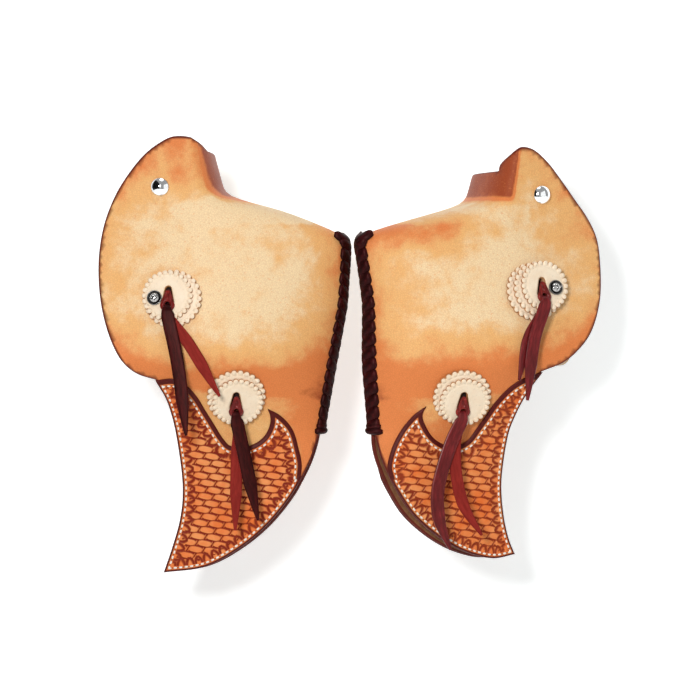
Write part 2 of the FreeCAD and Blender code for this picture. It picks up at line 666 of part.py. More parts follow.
def make_overlays(side, reach):
    """The stamped crescent on the outside of each wing."""
    shares = OUTLINE_SHARES[side]
    first = next(n for n, row in enumerate(SECTION_SHARES[side]) if row[0] < WING_SHARE) - 1
    under = size("seat_gap")
    base = moulded_form(f"{side}_overlay_under", section_rows(side, under)[first:],
                        size("hood_length"))
    skin = moulded_form(f"{side}_overlay_over",
                        section_rows(side, under + size("overlay_leather"))[first:],
                        size("hood_length") - size("cut_overrun"))
    leather = cut(f"{side}_overlay_sheet", skin, base)
    front_end = shares["overlay_front"][-1]
    wing_front = [share for share in shares["wing_front"] if share[1] < front_end[1] - 0.02]
    edges = [curve_edge(shares["overlay_notch"]), curve_edge(shares["overlay_front"]),
             curve_edge(wing_front + [front_end])]
    wing_rear = [shares["overlay_notch"][0]] + shares["wing_rear"][1:]
    edges.append(curve_edge(wing_rear))
    made = {}
    for outer in (True, False):
        name = f"{side}_{'outer' if outer else 'inner'}_overlay"
        prism = outline_prism(f"{name}_side", edges, reach if outer else 0, both_sides=False)
        if not outer:
            prism.LengthRev = reach
        made[name] = common(name, leather, prism)
    return made


def make_lacing(side, reach):
    """Edge lacing that binds both panels together along the toe."""
    picked = [number for number, row in enumerate(SECTION_SHARES[side])
              if LACE_END_SHARE < row[0] < ROOF_SHARE]
    toe_rows = [place((SECTION_SHARES[side][number][2], SECTION_SHARES[side][number][0]))
                for number in picked]
    under = size("seat_gap")
    low = section_rows(side, under)
    high = section_rows(side, under + size("lace_stand"))
    base = moulded_form(f"{side}_lace_under", [low[number] for number in picked],
                        size("hood_length"))
    skin = moulded_form(f"{side}_lace_over", [high[number] for number in picked],
                        size("hood_length") - size("cut_overrun"))
    band = cut(f"{side}_lace_band", skin, base)
    start, end = toe_rows[0][1], toe_rows[-1][1]
    count = round((start - end) / size("lace_pitch"))
    pitch = (start - end) / count

    def toe(z):
        for (xa, za), (xb, zb) in zip(toe_rows, toe_rows[1:]):
            if za >= z >= zb:
                return xa + (xb - xa) * (za - z) / (za - zb)
        return toe_rows[0][0] if z > start else toe_rows[-1][0]

    inner = [(toe(start) - size("lace_width"), start)]
    for number in range(count):
        for part_share, push in ((0.25, 1), (0.75, 1), (1.0, 0)):
            z = start - (number + part_share) * pitch
            inner.append((toe(z) - size("lace_width") - push * size("lace_scallop"), z))
    ahead = toe_rows[0][0] + size("cut_overrun")
    points = inner + [(ahead, inner[-1][1]), (ahead, start), inner[0]]
    prism = outline_prism(f"{side}_lace_side", line_edges(points), reach)
    return {f"{side}_toe_lacing": common(f"{side}_toe_lacing", band, prism)}


# Latigo strings


def ribbon_outline(middle):
    """Side view of a string tail: full width down to its pointed end."""
    centre = [Vector(x, 0, z) for x, z in middle]
    half, tip = size("string_width") / 2, size("string_tip") / 2
    lengths = [(b - a).Length for a, b in zip(centre, centre[1:])]
    total, gone = sum(lengths), 0
    left, right = [], []
    stations = []
    for number, point in enumerate(centre):
        before = centre[max(number - 1, 0)]
        after = centre[min(number + 1, len(centre) - 1)]
        stations.append((gone, point, after - before))
        if number < len(lengths):
            gone += lengths[number]
    shoulder = total - size("string_point")
    walked = 0
    for number, length in enumerate(lengths):
        if walked < shoulder < walked + length:
            share = (shoulder - walked) / length
            way = centre[number + 1] - centre[number]
            stations.append((shoulder, centre[number] + way * share, way))
        walked += length
    stations.sort(key=lambda station: station[0])
    for gone, point, way in stations:
        across_way = way.cross(Y_AXIS)
        across_way.normalize()
        width = half
        if gone > shoulder:
            width = tip + (half - tip) * (total - gone) / size("string_point")
        left.append(point + across_way * width)
        right.append(point - across_way * width)
    points = left + right[::-1]
    return [(point.x, point.z) for point in points + points[:1]]


def knot_base(side, level):
    """Placement of the slot's middle on top of the rosettes, where the knot lies."""
    share = PLACE_SHARES[side][f"{level}_slot"]
    return panel_frame(side, share, stack_height(side, level) + size("seat_gap"))


def knot_foot():
    """Height of the knot's lower end above the slot's middle."""
    return size("slot_length") / 2 - size("slot_showing") - size("knot_length")


def tail_start(side, level, near):
    """Inner top edge of a tail: the near one leaves the eye, the far one the knot's end."""
    if near:
        up = knot_foot() + size("knot_half_width") - size("knot_eye")
        out = size("knot_thickness") + size("seat_gap")
    else:
        up = knot_foot() - size("seat_gap")
        out = 0
    base = knot_base(side, level)
    start = base.multVec(Vector(0, up, out))
    if level == "lower" and not near:
        # The knot leans over the hanging tail, which starts below its tilted end.
        tilt = -base.Rotation.multVec(Z_AXIS).z
        start.z -= size("knot_thickness") * tilt
        start.y -= size("seat_gap")
    return start


def tail_way(side, level):
    """Level direction of the panel under a knot, towards the toe."""
    fore = knot_base(side, level).Rotation.multVec(X_AXIS)
    return Vector(fore.x, fore.y, 0).normalize()


def tail_section(side, level, near, tip):
    """Outline of a tail seen along the panel, from its start down past its tip."""
    start = tail_start(side, level, near)
    way = tail_way(side, level)
    aside = start.x * way.y / way.x
    path = [(aside - start.y, start.z)]
    if level == "upper":
        # The tail lies on the rosette and hangs straight down from its lower edge.
        down = -knot_base(side, level).Rotation.multVec(Y_AXIS)
        fall = start.z - (place(PLACE_SHARES[side]["upper_rosette"])[1]
                          - size("rosette_back_radius"))
        path.append((path[0][0] + fall * down.y / down.z, start.z - fall))
    path.append((path[-1][0], tip - size("cut_overrun")))
    thick = size("string_thickness") / way.x
    loop = path + [(y + thick, z) for y, z in reversed(path)]
    return [Vector(0, -y, z) for y, z in loop + loop[:1]]


def make_knot(side, level):
    key = f"{side}_{level}"
    foot, half = knot_foot(), size("knot_half_width")
    loop = slab(f"{key}_knot_loop", slot_outline(size("knot_length"), half,
                size("slot_crown"), foot), "sizes.knot_thickness")
    eye = doc.addObject("Part::Prism", f"{key}_knot_eye")
    eye.Polygon = SLIT_SIDES
    bind(eye, Circumradius="sizes.knot_eye",
         Height="sizes.knot_thickness + 2 * sizes.cut_overrun")
    eye.Placement = Placement(Vector(0, foot + half, -size("cut_overrun")), Rotation())
    open_loop = cut(f"{key}_knot_open", loop, eye)
    shank = doc.addObject("Part::Box", f"{key}_knot_shank")
    bind(shank, Length="2 * sizes.shank_half_width", Width="sizes.shank_height")
    depth = stack_height(side, level) + size("seat_gap") + size("hood_leather")
    shank.Height = depth + size("string_thickness")
    shank.Placement = Placement(Vector(-size("shank_half_width"),
                                       -size("shank_height") / 2 - size("shank_drop"),
                                       -depth), Rotation())
    knot = boolean("Part::Fuse", f"{key}_string_knot", open_loop, shank)
    knot.Placement = knot_base(side, level)
    return {f"{key}_string_knot": knot}


def make_tail(side, level, near):
    key = f"{side}_{level}_{'near' if near else 'far'}"
    middle = [place(share) for share in STRING_SHARES[key]]
    start = tail_start(side, level, near)
    section = feature(f"{key}_section",
                      Part.makePolygon(tail_section(side, level, near, middle[-1][1])))
    strip = doc.addObject("Part::Extrusion", f"{key}_strip")
    strip.Base = section
    strip.DirMode, strip.Dir, strip.Solid = "Custom", tail_way(side, level), True
    bind(strip, LengthFwd="sizes.hood_length", LengthRev="sizes.hood_length")
    outline = ribbon_outline([(start.x, start.z)] + middle)
    prism = outline_prism(f"{key}_front", line_edges(outline), 2 * size("tread_half_width"),
                          both_sides=False)
    name = f"{side}_{level}_string_{'near' if near else 'far'}_tail"
    return {name: common(name, strip, prism)}


def pair_spacing():
    """Left neck to right neck: the reach of both toes with their lacing, and the gap."""
    spacing = size("pair_gap")
    for side in ("left", "right"):
        toe = max(place((row[2], row[0]))[0] for row in SECTION_SHARES[side])
        toe += NOSE_OFFSET_RATIO * (size("seat_gap") + size("lace_stand"))
        spacing += toe * math.cos(math.radians(size(f"{side}_toe_turn")))
    return spacing


def finish(side, parts):
    """Sets each sub-part in its stirrup's place; the right stirrup is mirrored first."""
    turn = -size("left_toe_turn") if side == "left" else size("right_toe_turn")
    spot = ORIGIN if side == "left" else X_AXIS * pair_spacing()
    set_down = Placement(spot, Rotation(Z_AXIS, turn))
    finished = {}
    for name, obj in parts.items():
        if side == "right":
            mirror = doc.addObject("Part::Mirroring", f"{name}_mirrored")
            mirror.Source, mirror.Base, mirror.Normal = obj, ORIGIN, X_AXIS
            mirror.Placement = set_down
            obj.Label = f"{name}_form"
            mirror.Label = name
            finished[name] = mirror
        else:
            obj.Placement = set_down.multiply(obj.Placement)
            obj.Label = name
            finished[name] = obj
    return finished


nodes = {}
for side in ("left", "right"):
    reach = size("tread_half_width") + size("cut_overrun")
    parts = {}
    parts.update(make_hood(side, reach))
    parts.update(make_bow(side))
    parts.update(make_neck(side))
    parts.update(make_screws(side))
    parts.update(make_rosettes(side, "upper"))
    parts.update(make_rosettes(side, "lower"))
    parts.update(make_overlays(side, reach))
    parts.update(make_lacing(side, reach))
    for level in ("upper", "lower"):
        parts.update(make_knot(side, level))
        parts.update(make_tail(side, level, near=True))
        parts.update(make_tail(side, level, near=False))
    doc.recompute()
    nodes.update(finish(side, parts))
for name in ("dome_nuts", "cup_washers", "hood_screws"):
    nodes[name] = compound(name, nodes.pop(f"left_{name}"), nodes.pop(f"right_{name}"))
doc.recompute()

for obj in doc.Objects:
    if "Invalid" in obj.State or "Error" in obj.State:
        raise RuntimeError(f"{obj.Name} did not build: {obj.State}")
for name, obj in nodes.items():
    if obj.Shape.isNull() or not obj.Shape.isValid():
        raise RuntimeError(f"{name} is not a valid shape")
    if not obj.Shape.Solids:
        raise RuntimeError(f"{name} has no solid")

os.makedirs("parts", exist_ok=True)
for name, obj in sorted(nodes.items()):
    obj.Shape.exportStep(os.path.join("parts", f"{obj.Label}.step"))
    print(obj.Label, len(obj.Shape.Solids), round(obj.Shape.Volume))
print(len(nodes), "sub-parts written")
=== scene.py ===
import math

import bmesh
import bpy
import numpy as np
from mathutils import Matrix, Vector
from mathutils.geometry import delaunay_2d_cdt


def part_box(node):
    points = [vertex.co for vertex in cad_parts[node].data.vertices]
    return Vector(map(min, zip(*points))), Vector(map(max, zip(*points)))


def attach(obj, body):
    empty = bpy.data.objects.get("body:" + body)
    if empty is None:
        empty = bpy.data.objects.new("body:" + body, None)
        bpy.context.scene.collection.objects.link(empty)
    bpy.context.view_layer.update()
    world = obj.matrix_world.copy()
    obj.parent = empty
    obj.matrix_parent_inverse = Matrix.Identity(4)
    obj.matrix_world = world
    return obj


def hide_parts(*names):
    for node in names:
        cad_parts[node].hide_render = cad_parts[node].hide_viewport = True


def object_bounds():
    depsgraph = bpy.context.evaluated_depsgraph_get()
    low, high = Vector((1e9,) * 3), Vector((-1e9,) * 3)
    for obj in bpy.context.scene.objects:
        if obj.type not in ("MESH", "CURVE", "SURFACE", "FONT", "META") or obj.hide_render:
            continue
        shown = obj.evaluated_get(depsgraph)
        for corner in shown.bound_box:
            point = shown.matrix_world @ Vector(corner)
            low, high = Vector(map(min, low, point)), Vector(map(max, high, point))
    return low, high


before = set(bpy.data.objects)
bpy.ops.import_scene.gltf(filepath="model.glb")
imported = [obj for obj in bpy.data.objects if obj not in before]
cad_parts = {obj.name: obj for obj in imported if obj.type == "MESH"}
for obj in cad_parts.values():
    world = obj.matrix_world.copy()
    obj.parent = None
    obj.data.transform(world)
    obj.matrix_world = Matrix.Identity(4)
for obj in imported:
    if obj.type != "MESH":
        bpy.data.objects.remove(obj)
cadLow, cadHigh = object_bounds()
scene = bpy.context.scene
sides = ("left", "right")
print("frame loaded")

# The camera looks square at the outer sides, from far away

camera = {"place": (0.1708, -6.045, -0.1516), "lens": 332, "sensor": 36, "reach": 60}

cameraData = bpy.data.cameras.new("camera")
cameraData.lens, cameraData.sensor_width = camera["lens"], camera["sensor"]
cameraData.clip_end = camera["reach"]
cameraObject = bpy.data.objects.new("camera", cameraData)
cameraObject.location = camera["place"]
cameraObject.rotation_euler = (math.radians(90), 0, 0)
scene.collection.objects.link(cameraObject)
scene.camera = cameraObject

# The hood's form: the same sections and outlines as its solids, but smooth.
# Every share is of its length and height, from the rear edge and the wing tips

hood = {
    "length": 0.230, "height": 0.407, "neck": (0.248, 0.884), "halfWidth": 0.068,
    "leather": 0.0045, "noseRatio": 1.4, "roof": 0.78, "turn": {"left": -8, "right": 25},
    "curveLength": 0.14, "smoothing": 0.005, "panelEnd": 0.369, "tableZ": (-0.45, 0.12, 1141),
    "spacing": 0.0042, "edgeRound": 0.0016, "edgeStep": 0.003, "toneStep": 0.004,
    "nudge": 2e-4, "farRear": {"left": (4, 10), "right": (5, 11)},
}
# height, half width, nose, end of the flat panel and squareness
necks = {
    "left": [(1.071, 0.603, 0.417, 0.337, 2.3), (0.966, 0.610, 0.433, 0.353, 2.3),
             (0.863, 0.625, 0.484, 0.377, 2.3), (0.836, 0.654, 0.706, 0.369, 1.9)],
    "right": [(1.043, 0.603, 0.382, 0.325, 2.3), (0.938, 0.610, 0.409, 0.340, 2.3),
              (0.847, 0.632, 0.462, 0.365, 2.3), (0.822, 0.664, 0.658, 0.369, 1.9)],
}
# below the neck the two hoods differ in the nose only: height, half width and squareness
bodyRows = [(0.774, 0.721, 1.5), (0.712, 0.794, 1.5), (0.616, 0.897, 1.5),
            (0.523, 0.993, 1.5), (0.479, 1.000, 1.5), (0.329, 0.460, 1.6),
            (0.292, 0.415, 1.6), (0.215, 0.330, 1.7), (-0.059, 0.120, 1.8)]
noses = {"left": (0.980, 0.984, 0.975, 0.945, 0.930, 0.882, 0.912, 0.893, 0.853),
         "right": (0.980, 0.967, 0.945, 0.947, 0.947, 0.923, 0.958, 0.938, 0.900)}
outlines = {
    "left": {
        "neckFront": [(0.377, 0.998), (0.410, 0.984), (0.429, 0.968)],
        "farTop": [(0.429, 0.962), (0.395, 0.953), (0.335, 0.961), (0.270, 0.962),
                   (0.190, 0.938)],
        "rear": [(0.377, 0.998), (0.333, 1.001), (0.292, 0.999), (0.239, 0.984), (0.182, 0.959),
                 (0.121, 0.918), (0.061, 0.863), (0.019, 0.795), (0.003, 0.712), (0.019, 0.616),
                 (0.063, 0.534), (0.117, 0.479), (0.170, 0.455), (0.241, 0.442)],
        "wingRear": [(0.241, 0.442), (0.279, 0.397), (0.307, 0.315), (0.327, 0.192),
                     (0.313, 0.123), (0.279, 0.059), (0.241, 0.000)],
        "wingFront": [(0.241, 0.000), (0.412, 0.014), (0.550, 0.055), (0.668, 0.110),
                      (0.766, 0.178), (0.835, 0.247), (0.868, 0.300), (0.880, 0.328)],
        "notch": [(0.242, 0.440), (0.319, 0.443), (0.369, 0.427), (0.402, 0.406), (0.447, 0.358),
                  (0.498, 0.308), (0.526, 0.292), (0.591, 0.290), (0.653, 0.308), (0.683, 0.333),
                  (0.691, 0.356), (0.682, 0.376)],
        "front": [(0.682, 0.376), (0.729, 0.361), (0.776, 0.329), (0.799, 0.285),
                  (0.810, 0.251), (0.806, 0.218)],
    },
    "right": {
        "neckFront": [(0.366, 0.966), (0.390, 0.948), (0.402, 0.934), (0.407, 0.922)],
        "farTop": [(0.407, 0.917), (0.370, 0.906), (0.315, 0.909), (0.260, 0.922),
                   (0.205, 0.920)],
        "rear": [(0.366, 0.966), (0.347, 0.973), (0.322, 0.976), (0.277, 0.970), (0.216, 0.943),
                 (0.159, 0.905), (0.102, 0.863), (0.047, 0.819), (0.010, 0.771), (0.003, 0.712),
                 (0.018, 0.626), (0.069, 0.553), (0.140, 0.507), (0.203, 0.481), (0.291, 0.461)],
        "wingRear": [(0.291, 0.461), (0.322, 0.429), (0.350, 0.390), (0.372, 0.333),
                     (0.387, 0.256), (0.387, 0.192), (0.366, 0.123), (0.338, 0.075),
                     (0.309, 0.043)],
        "wingFront": [(0.309, 0.043), (0.400, 0.034), (0.491, 0.043), (0.580, 0.062),
                      (0.674, 0.094), (0.763, 0.137), (0.829, 0.189), (0.893, 0.262),
                      (0.911, 0.300), (0.920, 0.328)],
        "notch": [(0.291, 0.459), (0.374, 0.443), (0.418, 0.425), (0.462, 0.393), (0.503, 0.345),
                  (0.548, 0.306), (0.582, 0.295), (0.626, 0.292), (0.686, 0.308), (0.723, 0.333),
                  (0.747, 0.361), (0.739, 0.382)],
        "front": [(0.739, 0.382), (0.777, 0.365), (0.823, 0.329), (0.857, 0.290),
                  (0.873, 0.244), (0.862, 0.220)],
    },
}
places = {
    "left": {"bolt": (0.248, 0.884), "screw": (0.244, 0.627), "upperRosette": (0.305, 0.630),
             "upperSlot": (0.298, 0.630), "lowerRosette": (0.562, 0.403),
             "lowerSlot": (0.558, 0.398)},
    "right": {"bolt": (0.248, 0.866), "screw": (0.243, 0.649), "upperRosette": (0.307, 0.648),
              "upperSlot": (0.298, 0.648), "lowerRosette": (0.600, 0.403),
              "lowerSlot": (0.600, 0.398)},
}
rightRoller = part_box("right_neck_roller")
rightSpot = (rightRoller[0][0] + rightRoller[1][0]) / 2
tables = {}


def rise(value, low, high):
    # 0 up to low, 1 from high
    return np.clip((value - low) / (high - low), 0, 1)


def bell(value, middle, width):
    return np.exp(-((value - middle) / width) ** 2)


def unit(v):
    return v / np.maximum(np.linalg.norm(v, axis=-1, keepdims=True), 1e-12)


def lengths(line):
    # how far along a line each of its points is
    return np.concatenate([[0], np.cumsum(np.linalg.norm(np.diff(line, axis=0), axis=1))])


def sharePoint(share):
    return ((share[0] - hood["neck"][0]) * hood["length"],
            (share[1] - hood["neck"][1]) * hood["height"])


def shareTable(side, offset):
    z = np.linspace(*hood["tableZ"])
    rows = necks[side] + [(high, half, nose, hood["panelEnd"], square)
                          for (high, half, square), nose in zip(bodyRows, noses[side])]
    rows = rows[::-1]
    heights = [sharePoint((0, r[0]))[1] + (offset if r[0] > hood["roof"] else 0) for r in rows]
    step = z[1] - z[0]
    reach = int(3 * hood["smoothing"] / step)
    weights = np.exp(-0.5 * (np.arange(-reach, reach + 1) * step / hood["smoothing"]) ** 2)
    weights /= weights.sum()
    half, nose, straight, square = (
        np.convolve(np.pad(np.interp(z, heights, [r[column] for r in rows]), reach, "edge"),
                    weights, "valid") for column in (1, 2, 3, 4))
    nose = (nose - hood["neck"][0]) * hood["length"] + hood["noseRatio"] * offset
    straight = (straight - hood["neck"][0]) * hood["length"]
    return z, half * hood["halfWidth"] + offset, nose, straight, square


def sectionAt(side, z, offset=0.0):
    key = (side, round(offset, 6))
    if key not in tables:
        tables[key] = shareTable(side, offset)
    heights, *columns = tables[key]
    return [np.interp(z, heights, column) for column in columns]


def surfacePoints(side, q, z, offset=0.0):
    # q runs round the section from the nose: plus on the outer side, minus on the inner one
    half, nose, straight, square = sectionAt(side, z, offset)
    turn = np.clip(np.abs(q) / hood["curveLength"], 0, 1) * math.pi / 2
    x = straight + np.cos(turn) ** (2 / square) * (nose - straight)
    x = x - np.clip(np.abs(q) - hood["curveLength"], 0, None)
    y = -np.sign(q) * half * np.sin(turn) ** (2 / square)
    return np.stack([x, y, z + 0 * q], axis=-1)


def unrolled(side, x, z, offset=0.0):
    half, nose, straight, square = sectionAt(side, z, offset)
    turn = np.arccos(np.clip(rise(x, straight, nose) ** (square / 2), 0, 1))
    return hood["curveLength"] * turn / (math.pi / 2) + np.clip(straight - x, 0, None)


def toWorld(side, p, vector=False):
    p = np.array(p, float)
    angle = math.radians(hood["turn"][side])
    x, y = (p[..., 0] if side == "left" else -p[..., 0]), p[..., 1]
    shift = 0 if vector or side == "left" else rightSpot
    return np.stack([x * math.cos(angle) - y * math.sin(angle) + shift,
                     x * math.sin(angle) + y * math.cos(angle), p[..., 2]], axis=-1)


def onHood(side, offset):
    # world point and outward normal for places (q, z) on the moulded surface
    def place(uv):
        q, z, e = uv[:, 0], uv[:, 1], hood["nudge"]
        along = surfacePoints(side, q + e, z, offset) - surfacePoints(side, q - e, z, offset)
        up = surfacePoints(side, q, z + e, offset) - surfacePoints(side, q, z - e, offset)
        return (toWorld(side, surfacePoints(side, q, z, offset)),
                toWorld(side, unit(np.cross(up, along)), vector=True))
    return place


def onPanel(side, offset, outer=True):
    # the same for places (x, z) seen from the side
    def place(uv):
        q = unrolled(side, uv[:, 0], uv[:, 1], offset)
        return onHood(side, offset)(np.stack([q if outer else -q, uv[:, 1]], axis=-1))
    return place


def panelSeat(side, share, lift, outer=True):
    # a flat seat on the panel: its own X to the toe, Y up, Z out of the leather
    x, z = sharePoint(share)
    e = hood["leather"]
    spots = onPanel(side, 0, outer)(np.array([(x, z), (x + e, z), (x - e, z), (x, z + e),
                                              (x, z - e)]))[0]
    handed = 1 if (side == "left") == outer else -1
    fore = unit(spots[1] - spots[2])
    out = unit(np.cross(fore, spots[3] - spots[4])) * handed
    return {"base": spots[0] + out * lift, "fore": fore, "up": np.cross(out, fore) * handed,
            "out": out}


def localSeat(side, spot, up, out):
    # a seat inside the stirrup, in its own directions
    ways = [toWorld(side, way, vector=True) for way in ((1, 0, 0), up, out)]
    return dict(zip(("fore", "up", "out"), ways), base=toWorld(side, spot))


def onSeat(seat):
    def place(uv):
        points = seat["base"] + uv[:, :1] * seat["fore"] + uv[:, 1:2] * seat["up"]
        return points, np.repeat(seat["out"][None], len(uv), axis=0)
    return place


# Curves and outlines in the plane


def blend(k, t, i, j, one, two):
    return (k[j] - t) / (k[j] - k[i]) * one + (t - k[i]) / (k[j] - k[i]) * two


def smoothPath(points, step):
    # evenly spaced points on a smooth curve through the given ones
    p = np.array(points, float)
    p = np.vstack([2 * p[0] - p[1], p, 2 * p[-1] - p[-2]])
    out = []
    for a, b, c, d in zip(p, p[1:], p[2:], p[3:]):
        pairs = ((a, b), (b, c), (c, d))
        k = np.cumsum([0] + [max(np.linalg.norm(n - m), 1e-9) ** 0.5 for m, n in pairs])
        t = np.linspace(k[1], k[2], 24, endpoint=False)[:, None]
        ab, bc, cd = (blend(k, t, i, i + 1, m, n) for i, (m, n) in enumerate(pairs))
        out.append(blend(k, t, 1, 2, blend(k, t, 0, 2, ab, bc), blend(k, t, 1, 3, bc, cd)))
    return respaced(np.vstack(out + [p[-2:-1]]), step)


def respaced(p, step):
    gone = lengths(p)
    want = np.linspace(0, gone[-1], max(int(round(gone[-1] / step)), 1) + 1)
    return np.stack([np.interp(want, gone, p[:, k]) for k in range(p.shape[1])], axis=-1)


def shareCurve(shares, step):
    return smoothPath([sharePoint(share) for share in shares], step)


def joined(*runs):
    points = [runs[0]]
    for run in runs[1:]:
        points.append(run[1:] if np.linalg.norm(run[0] - points[-1][-1]) < 1e-5 else run)
    loop = np.vstack(points)
    return loop[:-1] if np.linalg.norm(loop[0] - loop[-1]) < 1e-5 else loop


def panelEdge(side, step):
    # from the front of the neck down the rear edge and round the wing
    front, *parts = (shareCurve(outlines[side][part], step)
                     for part in ("neckFront", "rear", "wingRear", "wingFront"))
    return joined(front[::-1], *parts)


def insideLoop(points, loop):
    x, y = points[:, 0], points[:, 1]
    inside = np.zeros(len(points), bool)
    for (xa, ya), (xb, yb) in zip(loop, np.roll(loop, -1, axis=0)):
        if ya != yb:
            crossing = (ya > y) != (yb > y)
            inside ^= crossing & (x < (xb - xa) * (y - ya) / (yb - ya) + xa)
    return inside


def lineDistance(points, line, closed=False):
    # distance to a polyline, and how far along it the nearest place is
    ends = np.roll(line, -1, axis=0) if closed else line[1:]
    starts = line if closed else line[:-1]
    best, along = np.full(len(points), 1e9), np.zeros(len(points))
    gone = 0.0
    for a, b in zip(starts, ends):
        way, length = b - a, np.linalg.norm(b - a)
        if length < 1e-9:
            continue
        t = np.clip(((points - a) @ way) / length ** 2, 0, 1)
        d = np.linalg.norm(points - a - t[:, None] * way, axis=1)
        near = d < best
        best[near], along[near] = d[near], gone + t[near] * length
        gone += length
    return best, along


def windingRight(loop):
    x, y = loop[:, 0], loop[:, 1]
    return loop if np.sum(x * np.roll(y, -1) - np.roll(x, -1) * y) > 0 else loop[::-1]


# Meshes


def dress(made, body, slot, *nodes):
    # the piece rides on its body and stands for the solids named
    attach(made, body)
    if nodes:
        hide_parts(*nodes)


def addObject(name, data):
    made = bpy.data.objects.new(name, data)
    scene.collection.objects.link(made)
    return made


def newObject(name, verts, faces, materials, slots=None):
    mesh = bpy.data.meshes.new(name)
    mesh.from_pydata([tuple(v) for v in verts], [], faces)
    for material in materials:
        mesh.materials.append(material)
    if slots:
        mesh.polygons.foreach_set("material_index", slots)
    mesh.polygons.foreach_set("use_smooth", [True] * len(mesh.polygons))
    mesh.update()
    return addObject(name, mesh)


def facesOutward(made):
    # turns a mesh's faces to the outside, shell by shell
    work = bmesh.new()
    work.from_mesh(made.data)
    bmesh.ops.recalc_face_normals(work, faces=work.faces)
    work.to_mesh(made.data)
    work.free()
    return made


def setUv(made, uv):
    layer = made.data.uv_layers.new(name="leather")
    corners = np.zeros(len(made.data.loops), np.int32)
    made.data.loops.foreach_get("vertex_index", corners)
    layer.data.foreach_set("uv", np.asarray(uv, np.float32)[corners].ravel())


def hexGrid(low, high, spacing):
    rows = []
    for number, y in enumerate(np.arange(low[1], high[1], spacing * math.sqrt(3) / 2)):
        xs = np.arange(low[0] + (spacing / 2 if number % 2 else 0), high[0], spacing)
        rows.append(np.stack([xs, np.full(len(xs), y)], axis=-1))
    return np.vstack(rows)


def makePlate(name, loops, place, thickness, edgeRound, spacing, materials, relief=None,
              values=None, rimRows=3):
    # a sheet of leather with round edges: face, rim and back get materials 0, 1 and 2
    loops = [windingRight(loops[0])] + [windingRight(loop)[::-1] for loop in loops[1:]]

    def onSheet(points):
        keep = insideLoop(points, loops[0])
        for loop in loops[1:]:
            keep &= ~insideLoop(points, loop)
        return keep

    inner = hexGrid(loops[0].min(0), loops[0].max(0), spacing)
    inner = inner[onSheet(inner)]
    for loop in loops:
        inner = inner[lineDistance(inner, loop, True)[0] > max(spacing * 0.55, edgeRound * 1.5)]
    edge = np.vstack(loops)
    uv = np.vstack([edge, inner])
    edges, start = [], 0
    for loop in loops:
        edges += [(start + n, start + (n + 1) % len(loop)) for n in range(len(loop))]
        start += len(loop)
    found = delaunay_2d_cdt([Vector(p) for p in uv], edges, [], 0, 1e-9)
    order = [origins[0] if origins else -1 for origins in found[3]]
    tris = np.array([[order[n] for n in face] for face in found[2] if len(face) == 3])
    tris = tris[(tris >= 0).all(axis=1)]
    tris = tris[onSheet(uv[tris].mean(axis=1))]

    count, rim = len(uv), len(edge)
    face, normal = place(uv)
    ahead = np.vstack([np.roll(loop, -1, axis=0) for loop in loops])
    behind = np.vstack([np.roll(loop, 1, axis=0) for loop in loops])
    tangent = unit(ahead - behind)
    aside = np.stack([tangent[:, 1], -tangent[:, 0]], axis=-1)
    out = place(edge + aside * hood["nudge"])[0] - face[:rim]
    for way in (normal[:rim], unit(place(ahead)[0] - place(behind)[0])):
        out -= way * np.sum(out * way, axis=1, keepdims=True)
    out = unit(out)
    core = face - normal * thickness / 2
    core[:rim] -= out * edgeRound
    lift = (relief(uv) if relief else np.zeros(count))[:, None]
    layers = [core + normal * (thickness / 2 + lift), core - normal * thickness / 2]
    for number in range(1, rimRows + 1):
        angle = math.pi / 2 - math.pi * number / (rimRows + 1)
        layers.append(core[:rim] + out * edgeRound * math.cos(angle)
                      + normal[:rim] * thickness / 2 * math.sin(angle)
                      + normal[:rim] * lift[:rim] * (1 - number / (rimRows + 1)))
    a, b, c = (face[tris[:, k]] for k in range(3))
    flip = np.mean(np.sum(np.cross(b - a, c - a) * normal[tris[:, 0]], axis=1)) < 0
    if flip:
        tris = tris[:, ::-1]
    faces = tris.tolist() + (tris[:, ::-1] + count).tolist()
    slots = [0] * len(tris) + [2] * len(tris)
    levels = [0] + [2 * count + k * rim for k in range(rimRows)] + [count]
    for one, two in edges:
        for upper, lower in zip(levels, levels[1:]):
            quad = (upper + one, lower + one, lower + two, upper + two)
            faces.append(quad[::-1] if flip else quad)
    slots += [1] * (len(faces) - len(slots))
    made = newObject(name, np.vstack(layers), faces, materials, slots)
    spots = np.vstack([uv, uv] + [edge] * rimRows)
    setUv(made, spots)
    for key, numbers in (values(spots) if values else {}).items():
        layer = made.data.attributes.new(key, "FLOAT", "POINT")
        layer.data.foreach_set("value", np.asarray(numbers, np.float32))
    return made


def makeTurned(name, profile, seat, material, segments=48):
    # a closed profile of (radius, height) spun round the seat's own Z
    verts, faces, rings = [], [], []
    for radius, height in profile:
        around = segments if radius > 1e-7 else 1
        rings.append(range(len(verts), len(verts) + around))
        for number in range(around):
            angle = math.tau * number / segments
            verts.append(seat["base"] + seat["fore"] * radius * math.cos(angle)
                         + seat["up"] * radius * math.sin(angle) + seat["out"] * height)
    for one, two in zip(rings, rings[1:]):
        for n in range(segments):
            corners = (one[n % len(one)], one[(n + 1) % segments % len(one)],
                       two[(n + 1) % segments % len(two)], two[n % len(two)])
            faces.append(tuple(dict.fromkeys(corners)))
    return facesOutward(newObject(name, verts, faces, [material]))


